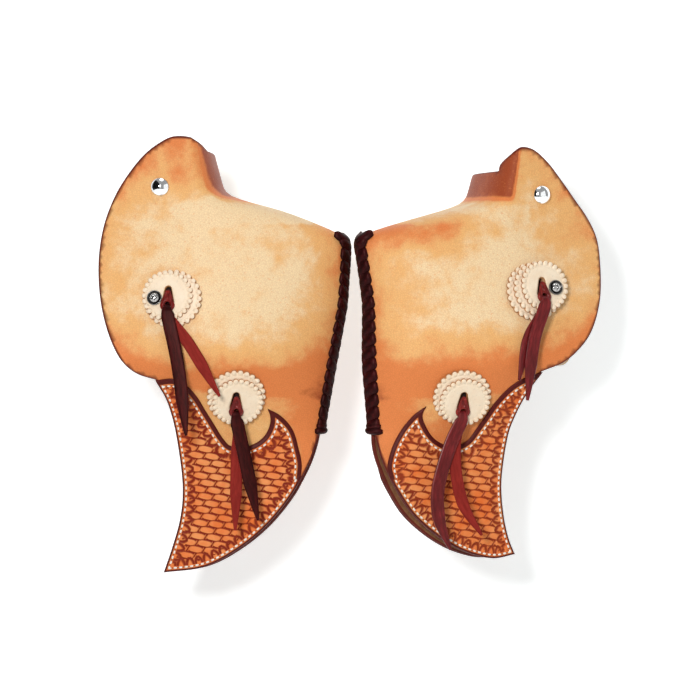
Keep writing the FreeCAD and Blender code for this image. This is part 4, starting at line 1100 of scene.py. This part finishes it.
def stackHeight(key):
    return len(rosette["layers"][key]) * (rosette["leather"] + rosette["gap"])


beadInputs = {"Radius": rosette["bead"], "Height": rosette["beadHeight"], "Out X": 0.0,
              "Out Y": 0.0, "Out Z": 0.0}
beadNodes = beadTree("beads", beadInputs, (14, 9), rosetteFace, False)
slotLoop = teardrop(slot, -slot["length"] / 2)


def makeLayer(key, layer, seat, shift, hole):
    radius = rosette["radius"][layer]
    angle = np.linspace(0, math.tau, rosette["scallops"] * rosette["points"], endpoint=False)
    lobe = np.abs(np.cos(angle * rosette["scallops"] / 2)) ** rosette["lobePower"]
    reach = radius - rosette["depth"] * (1 - lobe)
    rim = np.stack([reach * np.cos(angle), reach * np.sin(angle)], axis=-1) + shift

    def pastRim(uv):
        return np.linalg.norm(uv - shift, axis=1) - radius

    def pleats(uv, deep, begin, over, power):
        # sharp towards the notches between the scallops
        d = uv - shift
        notch = np.abs(np.sin(np.arctan2(d[:, 1], d[:, 0]) * rosette["scallops"] / 2))
        return deep * notch ** power * np.clip((pastRim(uv) + begin) / over, 0, 1)

    def relief(uv):
        (ringDeep, ringWide), (slopeDeep, over) = rosette["ringGroove"], rosette["slope"]
        slotDeep, slotWide = rosette["slotGroove"]
        slope = np.clip((pastRim(uv) + over) / over, 0, 1)
        return -ringDeep * bell(pastRim(uv), -rosette["ringInset"], ringWide) \
            - slopeDeep * slope ** 2 - pleats(uv, *rosette["pleat"]) \
            - slotDeep * bell(lineDistance(uv, hole, True)[0], 0, slotWide)

    # painted shade: darker in the notches between the scallops and towards the rim
    def marks(uv):
        share, over = rosette["rimShade"]
        edge = np.clip((pastRim(uv) + over) / over, 0, 1)
        return {"ink": np.clip(pleats(uv, *rosette["pleatShade"]) + edge * share, 0, 1)}

    made = makePlate(f"{key}_rosette_{layer}_leather", [rim, hole], onSeat(seat),
                     rosette["leather"], rosette["edgeRound"], rosette["spacing"],
                     [rosetteFace, shadedRosetteEdge, shadedFleshSide], relief, marks)
    angle = math.tau * np.arange(rosette["scallops"]) / rosette["scallops"]
    ring = np.stack([np.cos(angle), np.sin(angle)], axis=-1) * (radius - rosette["beadInset"])
    spots = onSeat(seat)(ring + shift)[0] - seat["out"] * rosette["beadSink"]
    ways = {f"Out {axis}": float(way) for axis, way in zip("XYZ", seat["out"])}
    beads = bakeCurves(f"{key}_{layer}_beads", [spots], beadNodes, {**beadInputs, **ways})
    made = joinPieces(f"{key}_rosette_{layer}_piece", [made, beads])
    dress(made, "frame", "rosette_leather", f"{key}_rosette_{layer}")


def makeRosettes(side, level):
    key = f"{side}_{level}"
    share, slotShare = places[side][f"{level}Rosette"], places[side][f"{level}Slot"]
    hole = slotLoop + (np.array(sharePoint(slotShare)) - sharePoint(share))
    layers = rosette["layers"][key]
    for number, layer in enumerate(layers):
        reach = rosette["fan"] * (len(layers) - 1 - 2 * number)
        seat = panelSeat(side, share, (number + 1) * (rosette["leather"] + rosette["gap"]))
        makeLayer(key, layer, seat, reach * np.array(rosette["fanWay"][key]), hole)
    # a dark sheet under each slot: painted shade in the hole through the hood
    shade = makePlate(f"{key}_slot_shade_sheet", [slotLoop],
                      onSeat(panelSeat(side, slotShare, slotShadeSheet["lift"])), slotShadeSheet["thickness"],
                      slotShadeSheet["edgeRound"], slotShadeSheet["spacing"], [slotShade] * 3)
    dress(shade, "frame", "latigo")


def knotSeat(side, level):
    return panelSeat(side, places[side][f"{level}Slot"],
                     stackHeight(f"{side}_{level}") + rosette["gap"])


def makeKnot(side, level):
    seat = knotSeat(side, level)
    seat["base"] = seat["base"] + seat["out"] * knot["thickness"]
    ring = np.linspace(0, math.tau, 24, endpoint=False)
    eye = np.stack([np.cos(ring) * knot["eye"] * knot["eyeWidth"],
                    np.sin(ring) * knot["eye"] + eyeHeight], axis=-1)

    def relief(uv):
        r = np.linalg.norm(uv - (0, eyeHeight), axis=1)
        up = np.clip((uv[:, 1] - eyeHeight - knot["fallFrom"]) / knot["fallOver"], 0, 1)
        (high, middle, wide), (fall, power) = knot["coil"], knot["fall"]
        deep, narrow, soon = knot["crease"]
        coil = high * bell(r, middle, wide) * (1 - up)
        crease = -deep * bell(uv[:, 0], 0, narrow) * np.clip(up * soon, 0, 1)
        return coil + crease - fall * up ** power

    made = makePlate(f"{side}_{level}_knot_leather", [teardrop(knot, knotFoot), eye],
                     onSeat(seat), knot["thickness"], knot["edgeRound"], knot["spacing"],
                     [latigoKnot, latigoKnot, latigoSuede], relief, rimRows=4)
    dress(made, "frame", "latigo", f"{side}_{level}_string_knot")


for side in sides:
    for level in ("upper", "lower"):
        makeRosettes(side, level)
        makeKnot(side, level)
print("rosettes and knots ready")

# Latigo string tails, through points that are shares of the hood

strings = {
    "width": {"near": 0.0125, "far": 0.0112}, "thickness": 0.0024, "point": 0.034,
    "tip": 0.0022, "step": 0.002, "fineStep": 0.0012, "gap": 0.0003,
    "start": {"near": (0.42, 0.020), "far": (0.55, 0.07)}, "taper": 0.85,
    "throughEye": ((0, 0.0006), (0.7, 0.0030)), "belowEye": 0.003, "underKnot": 0.0002,
    "left_upper_near": [(0.345, 0.480), (0.380, 0.317)],
    "left_upper_far": [(0.400, 0.515), (0.514, 0.406)],
    "left_lower_near": [(0.600, 0.255), (0.648, 0.123)],
    "left_lower_far": [(0.564, 0.330), (0.562, 0.270), (0.556, 0.100)],
    "right_upper_near": [(0.355, 0.540), (0.389, 0.397)],
    "right_upper_far": [(0.380, 0.535), (0.420, 0.443)],
    "right_lower_near": [(0.652, 0.300), (0.705, 0.190), (0.698, 0.125), (0.655, 0.058)],
    "right_lower_far": [(0.630, 0.285), (0.600, 0.165), (0.523, 0.090)],
    "suede": ("left_upper_far", "left_lower_far", "right_lower_far"),
}


def tailLine(side, level, word):
    seat = knotSeat(side, level)
    half, lead = strings["thickness"] / 2, []
    if word == "near":
        for down, out in strings["throughEye"]:
            up = eyeHeight - knot["eye"] * down
            lead.append(seat["base"] + seat["up"] * up + seat["out"] * out)
        start = seat["base"] \
            + seat["up"] * (eyeHeight - knot["eye"] - strings["belowEye"]) \
            + seat["out"] * (knot["thickness"] + strings["gap"] + half)
    else:
        start = seat["base"] + seat["up"] * (knotFoot - strings["gap"]) \
            + seat["out"] * (half + strings["underKnot"])
    way, outward = unit(seat["fore"] * (1, 1, 0)), unit(seat["out"] * (1, 1, 0))
    localX = toWorld(side, (1, 0, 0), vector=True)
    x = float((start - toWorld(side, (0, 0, 0))) @ localX)
    turned = float(way @ localX)
    slope, room = 0.0, 1.0
    if level == "upper":
        slope = float(-(seat["up"] @ outward)) / float(seat["up"][2])
        edge = sharePoint(places[side]["upperRosette"])[1] - rosette["radius"]["back"]
        room = max(float(start[2]) - edge, 0)
    shares = strings[f"{side}_{level}_{word}"]
    flat = smoothPath([(x, float(start[2]))] + [sharePoint(s) for s in shares],
                      strings["step"])
    line = []
    for px, pz in flat:
        fall = start[2] - pz
        eased = room * (1 - math.exp(-max(fall, 0) / max(room, 1e-6))) if fall > 0 else fall
        line.append(start + way * (px - x) / turned + np.array([0, 0, pz - start[2]])
                    + outward * slope * (min(fall, room) * 0.5 + eased * 0.5))
    return np.array(lead + line), way


for side in sides:
    for level in ("upper", "lower"):
        for word in ("near", "far"):
            line, way = tailLine(side, level, word)
            line = smoothPath(np.vstack([line[:3], line[3::3], line[-1:]]), strings["fineStep"])
            gone = lengths(line)
            full, (narrow, widening) = strings["width"][word], strings["start"][word]
            width = full * np.clip(narrow + gone / widening, 0, 1)
            left = np.clip((gone[-1] - gone) / strings["point"], 0, 1) ** strings["taper"]
            width = np.minimum(width, strings["tip"] + (full - strings["tip"]) * left)
            # the right stirrup's tails take the lighter copy: painted sheen
            skin = latigoShine if side == "left" else latigoPaintedSheen
            if f"{side}_{level}_{word}" in strings["suede"]:
                skin = latigoSuede
            made = makeStrap(f"{side}_{level}_{word}_tail_leather", line, width,
                             strings["thickness"], way, [skin])
            dress(made, f"{side}_{level}_strings", "latigo",
                  f"{side}_{level}_string_{word}_tail")
print("strings ready")

# Lacing along the toe: crossing strands, and a wrap at each end

lacing = {"top": 0.7735, "end": 0.329, "pitch": 0.0114, "width": 0.0122, "height": 0.0027,
          "reach": {"left": (0.0205, 0.0225), "right": (0.0195, 0.0255)}, "cross": 0.006,
          "lift": 0.0004, "slant": 0.6, "steps": 18, "sides": 18, "wrapTop": (0.0092, 0.0034),
          "wrapFoot": (0.0066, 0.0036), "ends": 9, "endWidth": 0.55, "endHeight": 0.35,
          "under": 0.0004, "over": 0.0007, "foot": 0.004, "topLift": (0.0016, 9),
          "wrapLift": {"top": 0.0018, "foot": 0.0010}}


def makeLacing(side):
    top, end = (sharePoint((0, lacing[word]))[1] for word in ("top", "end"))
    count = int(round((top - end) / lacing["pitch"]))
    pitch = (top - end) / count
    steps, ring = lacing["steps"], lacing["sides"]
    share = np.linspace(0, 1, steps)
    swell = np.clip(np.minimum(share, 1 - share) * lacing["ends"], 0, 1) ** 0.5
    endWidth, endHeight = lacing["endWidth"], lacing["endHeight"]
    verts, faces, uvs = [], [], []

    def strand(q, z, width, height, raised):
        # along places (q, z) of the strand's middle
        path = np.stack([q, z], axis=-1)
        way = unit(np.gradient(path, axis=0))
        aside = np.stack([-way[:, 1], way[:, 0]], axis=-1)
        first = len(verts)
        for n in range(ring):
            angle = math.tau * n / ring
            wide = width / 2 * math.cos(angle) * (endWidth + (1 - endWidth) * swell)
            spot = path + aside * wide[:, None]
            held = np.clip(spot[:, 1], end + 0.001, top - 0.0015)
            points, normals = onHood(side, 0.0)(np.stack([spot[:, 0], held], axis=-1))
            points[:, 2] += spot[:, 1] - held
            lift = math.sin(angle) * (height if math.sin(angle) > 0 else lacing["under"])
            lift = raised + lift * (endHeight + (1 - endHeight) * swell)
            verts.extend(points + normals * lift[:, None])
            uvs.extend(np.stack([np.full(steps, angle * 0.002), share * 0.04], axis=-1))
        for n in range(ring):
            a, b = first + n * steps, first + ((n + 1) % ring) * steps
            faces.extend((a + k, b + k, b + k + 1, a + k + 1) for k in range(steps - 1))
        ends = range(first, first + ring * steps, steps)
        faces.extend([tuple(ends), tuple(n + steps - 1 for n in ends)[::-1]])

    for number in range(count):
        down = number / (count - 1)
        reach = lacing["reach"][side][0] * (1 - down) + lacing["reach"][side][1] * down
        for sign in (1, -1):
            q = np.linspace(reach * sign, -lacing["cross"] * sign, steps)
            drop = pitch * (lacing["slant"] * (share - 0.15) + (0.0 if sign > 0 else 0.5))
            z = np.maximum(top - (number + 0.5) * pitch - drop, end + lacing["foot"])
            most, fade = lacing["topLift"]
            raised = lacing["lift"] + lacing["over"] * share * (1 if sign > 0 else 0.6) \
                + most * math.exp(-down * fade)
            strand(q, z, lacing["width"], lacing["height"], raised)
    # the lace's ends: rolled over the top of the toe, and a wrapped knot at the foot
    for k in range(2):
        reach, (width, height) = lacing["reach"][side][0], lacing["wrapTop"]
        q = np.linspace(reach * (1.25 - 0.2 * k), -reach, steps)
        z = top + 0.0002 - 0.0035 * k - 0.0062 * (1 - np.abs(q) / reach / 1.25) ** 0.8
        strand(q, z, width, height, np.full(steps, lacing["wrapLift"]["top"]))
    for k in range(2):
        reach, (width, height) = lacing["reach"][side][1], lacing["wrapFoot"]
        q = np.linspace(reach + 0.005 - 0.003 * k, -reach - 0.003, steps)
        z = end - 0.0014 + 0.0046 * k + 0.001 * share
        strand(q, z, width, height - 0.0006 * k, np.full(steps, lacing["wrapLift"]["foot"]))
    made = newObject(f"{side}_toe_lace", verts, faces, [laceLeather])
    setUv(made, uvs)
    return facesOutward(made)


for side in sides:
    dress(makeLacing(side), "frame", "lace", f"{side}_toe_lacing")
print("lacing ready")

# Metal: dome nuts, cup washers and screws

domeNut = {"radius": 0.0088, "height": 0.0050, "rim": 0.0010, "rings": 12, "gap": 0.0003}
cup = {"radius": 0.0070, "height": 0.0024, "lip": 0.0010, "hole": 0.0023}
screwHead = {"radius": 0.0044, "height": 0.0032, "recessLong": 0.0025, "recessWide": 0.00062,
             "recessDeep": 0.0013, "shank": 0.0022, "shankDeep": 0.006, "crown": (0.62, 2.6),
             "rings": 18, "segments": 72}


def makeDomeNut(name, side, outward):
    x, z = sharePoint(places[side]["bolt"])
    head, rim = domeNut["radius"], domeNut["rim"]
    way = -1 if outward else 1
    walls = sectionAt(side, np.array([z - head, z, z + head]))[0]
    seat = localSeat(side, (x, (float(walls.max()) + domeNut["gap"]) * way, z), (0, 0, 1),
                     (0, way, 0))
    sag = domeNut["height"] - rim
    ball = (head ** 2 + sag ** 2) / (2 * sag)
    full = math.asin(head / ball)
    profile = [(0, 0), (head - 0.0004, 0), (head, 0.0003), (head, rim * 0.7)]
    profile += [(ball * math.sin(full * s), rim + sag - ball + ball * math.cos(full * s))
                for s in np.linspace(0.985, 0, domeNut["rings"])]
    return makeTurned(name, profile, seat, chrome, 64)


def makeCup(name, seat):
    lip, high, hole = cup["lip"], cup["height"], cup["hole"]
    edge = cup["radius"] - lip / 2
    profile = [(hole, lip * 0.6), (hole, 0), (cup["radius"] - 0.0003, 0)]
    profile += [(edge + lip / 2 * math.cos(a), high - lip / 2 + lip / 2 * math.sin(a))
                for a in np.linspace(0, math.pi, 9)]
    profile += [(edge - lip, lip * 0.9), (hole + 0.001, lip * 0.6), (hole, lip * 0.6)]
    return makeTurned(name, profile, seat, darkMetal, 56)


def makeScrew(name, seat):
    # a pan head with a cross recess, its shank hidden below
    head, high, lift = screwHead["radius"], screwHead["height"], cup["lip"]
    rings, around, shank = screwHead["rings"], screwHead["segments"], screwHead["shank"]
    wide, long, deep = (screwHead[f"recess{word}"] for word in ("Wide", "Long", "Deep"))
    fall, power = screwHead["crown"]
    verts = [seat["base"] + seat["out"] * (lift + high - deep)]
    profile = [(head * (k / rings), None) for k in range(1, rings + 1)]
    profile += [(head, lift + 0.0006), (head - 0.0003, lift + 0.0001), (shank, lift + 0.0001),
                (shank, lift - screwHead["shankDeep"])]
    for r, height in profile:
        for n in range(around):
            angle = math.tau * n / around
            u, v = r * math.cos(angle), r * math.sin(angle)
            level = height
            if height is None:
                arm = min(max(abs(u) / wide, abs(v) / long), max(abs(v) / wide, abs(u) / long))
                level = lift + high * (1 - fall * (r / head) ** power) \
                    - deep * float(np.clip((1.25 - arm) / 0.35, 0, 1))
            verts.append(seat["base"] + seat["fore"] * u + seat["up"] * v + seat["out"] * level)
    faces = [(0, 1 + n, 1 + (n + 1) % around) for n in range(around)]
    faces += ringFaces(1, around, len(profile))
    faces.append(tuple(range(len(verts) - around, len(verts)))[::-1])
    return facesOutward(newObject(name, verts, faces, [screwSteel]))


nuts, cups, screws = [], [], []
for side in sides:
    for outward in (True, False):
        word = f"{side}_{'outer' if outward else 'inner'}"
        nuts.append(makeDomeNut(f"{word}_nut", side, outward))
        lift = stackHeight(f"{side}_upper") if outward else 0.0
        seat = panelSeat(side, places[side]["screw"], lift + rosette["gap"], outward)
        cups.append(makeCup(f"{word}_cup", seat))
        screws.append(makeScrew(f"{word}_screw", seat))
for pieces, node, finish in ((nuts, "dome_nuts", "chrome"), (cups, "cup_washers", "dark_metal"),
                             (screws, "hood_screws", "chrome")):
    dress(joinPieces(f"{node}_piece", pieces), "frame", finish, node)
print("metal ready")

# The wooden bow, tread leather and neck roller inside

bow = {"depth": 0.054, "neckDepth": 0.042, "arm": 0.0095, "tread": 0.012, "aboveBolt": 0.016,
       "drop": 0.1665, "corner": 0.018, "gap": 0.0003, "armGap": 0.0006, "leather": 0.004,
       "footNarrower": 0.009, "narrowFrom": -0.125, "narrowOver": 0.03}
sole = {"inset": 0.005, "sideGap": 0.0005, "edgeRound": 0.001, "step": 0.003,
        "ribs": (0.0003, 520, 0.93)}
roller = {"radius": 0.011, "waist": 0.0098, "bore": 0.00485, "endGap": 0.0004, "edge": 0.001,
          "collar": 0.006, "waistEnd": 0.008}


def innerWall(side, z):
    return float(sectionAt(side, np.array([z]), -hood["leather"])[0][0]) - bow["gap"]


def makeBow(side):
    # half the bow as rows of y, z and thickness, from the top of an arm to the tread's middle
    boltZ = sharePoint(places[side]["bolt"])[1]
    top, bottom = boltZ + bow["aboveBolt"], -bow["drop"]
    arm, tread, corner = bow["arm"], bow["tread"], bow["corner"]
    cornerZ = bottom + corner
    foot = innerWall(side, cornerZ) - corner
    half = [(innerWall(side, z) - bow["armGap"] - arm / 2, z, arm)
            for z in np.linspace(top, cornerZ, 26)]
    for angle in np.radians(np.linspace(10, 90, 9)):
        thick = arm + (tread - arm) * angle / (math.pi / 2)
        reach = corner - thick / 2
        half.append((foot + reach * math.cos(angle), cornerZ - reach * math.sin(angle), thick))
    half += [(y, bottom + tread / 2, tread) for y in np.linspace(foot, 0, 8)[1:]]
    y, z, thick = np.array([(-y, z, t) for y, z, t in half] + half[-2::-1]).T
    line = toWorld(side, np.stack([0 * y, y, z], axis=-1))
    widths = bow["depth"] - (bow["depth"] - bow["neckDepth"]) * rise(z, (boltZ + bottom) / 2, top)
    widths -= bow["footNarrower"] * np.clip((bow["narrowFrom"] - z) / bow["narrowOver"], 0, 1)
    made = makeStrap(f"{side}_bow_wood", line, widths, thick,
                     toWorld(side, (1, 0, 0), vector=True), [bowWood], 6.0, 28)
    dress(made, "frame", "bow_wood", f"{side}_stirrup_bow")
    return foot


def makeSole(side, foot):
    seat = localSeat(side, (0, 0, -bow["drop"] + bow["tread"] + bow["leather"]), (0, 1, 0),
                     (0, 0, 1))
    deep, wide = bow["depth"] / 2 - sole["inset"], foot - sole["sideGap"]
    corners = [(-deep, -wide), (deep, -wide), (deep, wide), (-deep, wide), (-deep, -wide)]
    sink, pace, share = sole["ribs"]
    made = makePlate(f"{side}_tread_sole", [respaced(np.array(corners), sole["step"])[:-1]],
                     onSeat(seat), bow["leather"], sole["edgeRound"], sole["step"],
                     [soleLeather, hoodEdge, shadedFleshSide],
                     lambda uv: -sink * (np.abs(np.sin(uv[:, 0] * pace)) > share))
    dress(made, "frame", "sole_leather", f"{side}_tread_leather")


def makeRoller(side):
    boltX, boltZ = sharePoint(places[side]["bolt"])
    wall = min(innerWall(side, boltZ + way * roller["radius"]) for way in (-1, 0, 1))
    long = wall - bow["arm"] - roller["endGap"] - bow["armGap"]
    big, small, bore = roller["radius"], roller["waist"], roller["bore"]
    edge, collar = roller["edge"], roller["collar"]
    profile = [(bore, -long), (big - edge, -long), (big, -long + edge), (big, -long + collar)]
    profile += [(small + (big - small) * abs(s) ** 2.5, s * (long - roller["waistEnd"]))
                for s in np.linspace(-1, 1, 15)]
    profile += [(big, long - collar), (big, long - edge), (big - edge, long), (bore, long),
                (bore, -long)]
    made = makeTurned(f"{side}_roller_wood", profile,
                      localSeat(side, (boltX, 0, boltZ), (0, 0, 1), (0, -1, 0)), rollerWood)
    dress(made, f"{side}_roller", "roller_wood", f"{side}_neck_roller")


for side in sides:
    makeSole(side, makeBow(side))
    makeRoller(side)
    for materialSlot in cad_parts[f"{side}_neck_bolt"].material_slots:
        materialSlot.material = steel
print("bows and rollers ready")

# Studio: a white wall close behind, a pale floor, soft lamps, and screens beside the camera
# that give the metal its contrast

studio = {
    "floorDrop": 0.062, "wallY": 0.112, "low": (-2.5, -1.25), "high": (2.9, 2.2),
    "coolShare": 0.965, "ambient": 0.36, "aim": (0.17, 0.0, -0.15),
    "papers": {"wall": (0.54, 0.86), "floor": (0.66, 0.86), "darkScreen": (0.0, 0.015),
               "whiteScreen": (0.75, 0.5)},
    "screens": {
        "leftScreen": ("darkScreen", [(-1.1, -0.15, -1.3), (-1.1, -0.15, 1.5),
                                      (-0.65, -2.3, 1.5), (-0.65, -2.3, -1.3)]),
        "lowScreen": ("darkScreen", [(-1.2, -0.62, -0.62), (-1.2, -2.6, -0.75),
                                     (1.6, -2.6, -0.75), (1.6, -0.62, -0.62)]),
        "rightScreen": ("whiteScreen", [(0.95, -1.9, -0.5), (0.95, -1.9, 0.7),
                                        (1.3, -0.5, 0.7), (1.3, -0.5, -0.5)]),
    },
    "lamps": {"key": ((-0.52, -3.4, 0.52), 0.66, 76), "fill": ((2.3, -2.6, 0.3), 2.0, 9),
              "top": ((0.2, -0.9, 2.6), 1.4, 12)},
}


def paperMaterial(name):
    # seen only from its front; white for the camera and in reflections, lit as paper otherwise
    strength, colour = studio["papers"][name]
    material = bpy.data.materials.new(f"{name}Paper")
    material.use_nodes = True
    tree = material.node_tree
    tree.nodes.clear()
    rays = addNode(tree, "ShaderNodeLightPath").outputs
    seen = mathNode(tree, "MAXIMUM", rays["Is Camera Ray"],
                    mathNode(tree, "MAXIMUM", rays["Is Glossy Ray"],
                             rays["Is Transmission Ray"]))
    glow = addNode(tree, "ShaderNodeEmission", {
        "Color": (1, 1, 1, 1), "Strength": mathNode(tree, "MULTIPLY", seen, strength)})
    paper = addNode(tree, "ShaderNodeBsdfDiffuse", {
        "Color": (colour * studio["coolShare"], colour, colour, 1)})
    both = addNode(tree, "ShaderNodeAddShader", {0: glow.outputs[0], 1: paper.outputs[0]})
    clear = addNode(tree, "ShaderNodeBsdfTransparent")
    back = addNode(tree, "ShaderNodeNewGeometry").outputs["Backfacing"]
    shown = addNode(tree, "ShaderNodeMixShader", {0: back, 1: both.outputs[0],
                                                  2: clear.outputs[0]})
    addNode(tree, "ShaderNodeOutputMaterial", {"Surface": shown.outputs[0]})
    return material


papers = {name: paperMaterial(name) for name in studio["papers"]}
(x0, y0), (x1, z1) = studio["low"], studio["high"]
floorZ, wallY = cadLow[2] - studio["floorDrop"], studio["wallY"]
sheets = {"wall": ("wall", [(x0, wallY, floorZ), (x1, wallY, floorZ), (x1, wallY, z1),
                            (x0, wallY, z1)]),
          "floor": ("floor", [(x0, y0, floorZ), (x1, y0, floorZ), (x1, wallY, floorZ),
                              (x0, wallY, floorZ)]),
          **studio["screens"]}
for name, (paper, corners) in sheets.items():
    newObject(name, corners, [(0, 1, 2, 3)], [papers[paper]])
for name, (place, size, power) in studio["lamps"].items():
    lamp = bpy.data.lights.new(name, "AREA")
    lamp.shape, lamp.size, lamp.energy = "DISK", size, power
    made = addObject(name, lamp)
    made.location = place
    aim = Vector(studio["aim"]) - Vector(place)
    made.rotation_euler = aim.to_track_quat("-Z", "Y").to_euler()

world = bpy.data.worlds.new("studio")
scene.world = world
world.use_nodes = True
feed(world.node_tree, world.node_tree.nodes["Background"],
     {"Color": (1, 1, 1, 1), "Strength": studio["ambient"]})
scene.view_settings.view_transform = "Standard"
print("studio ready")
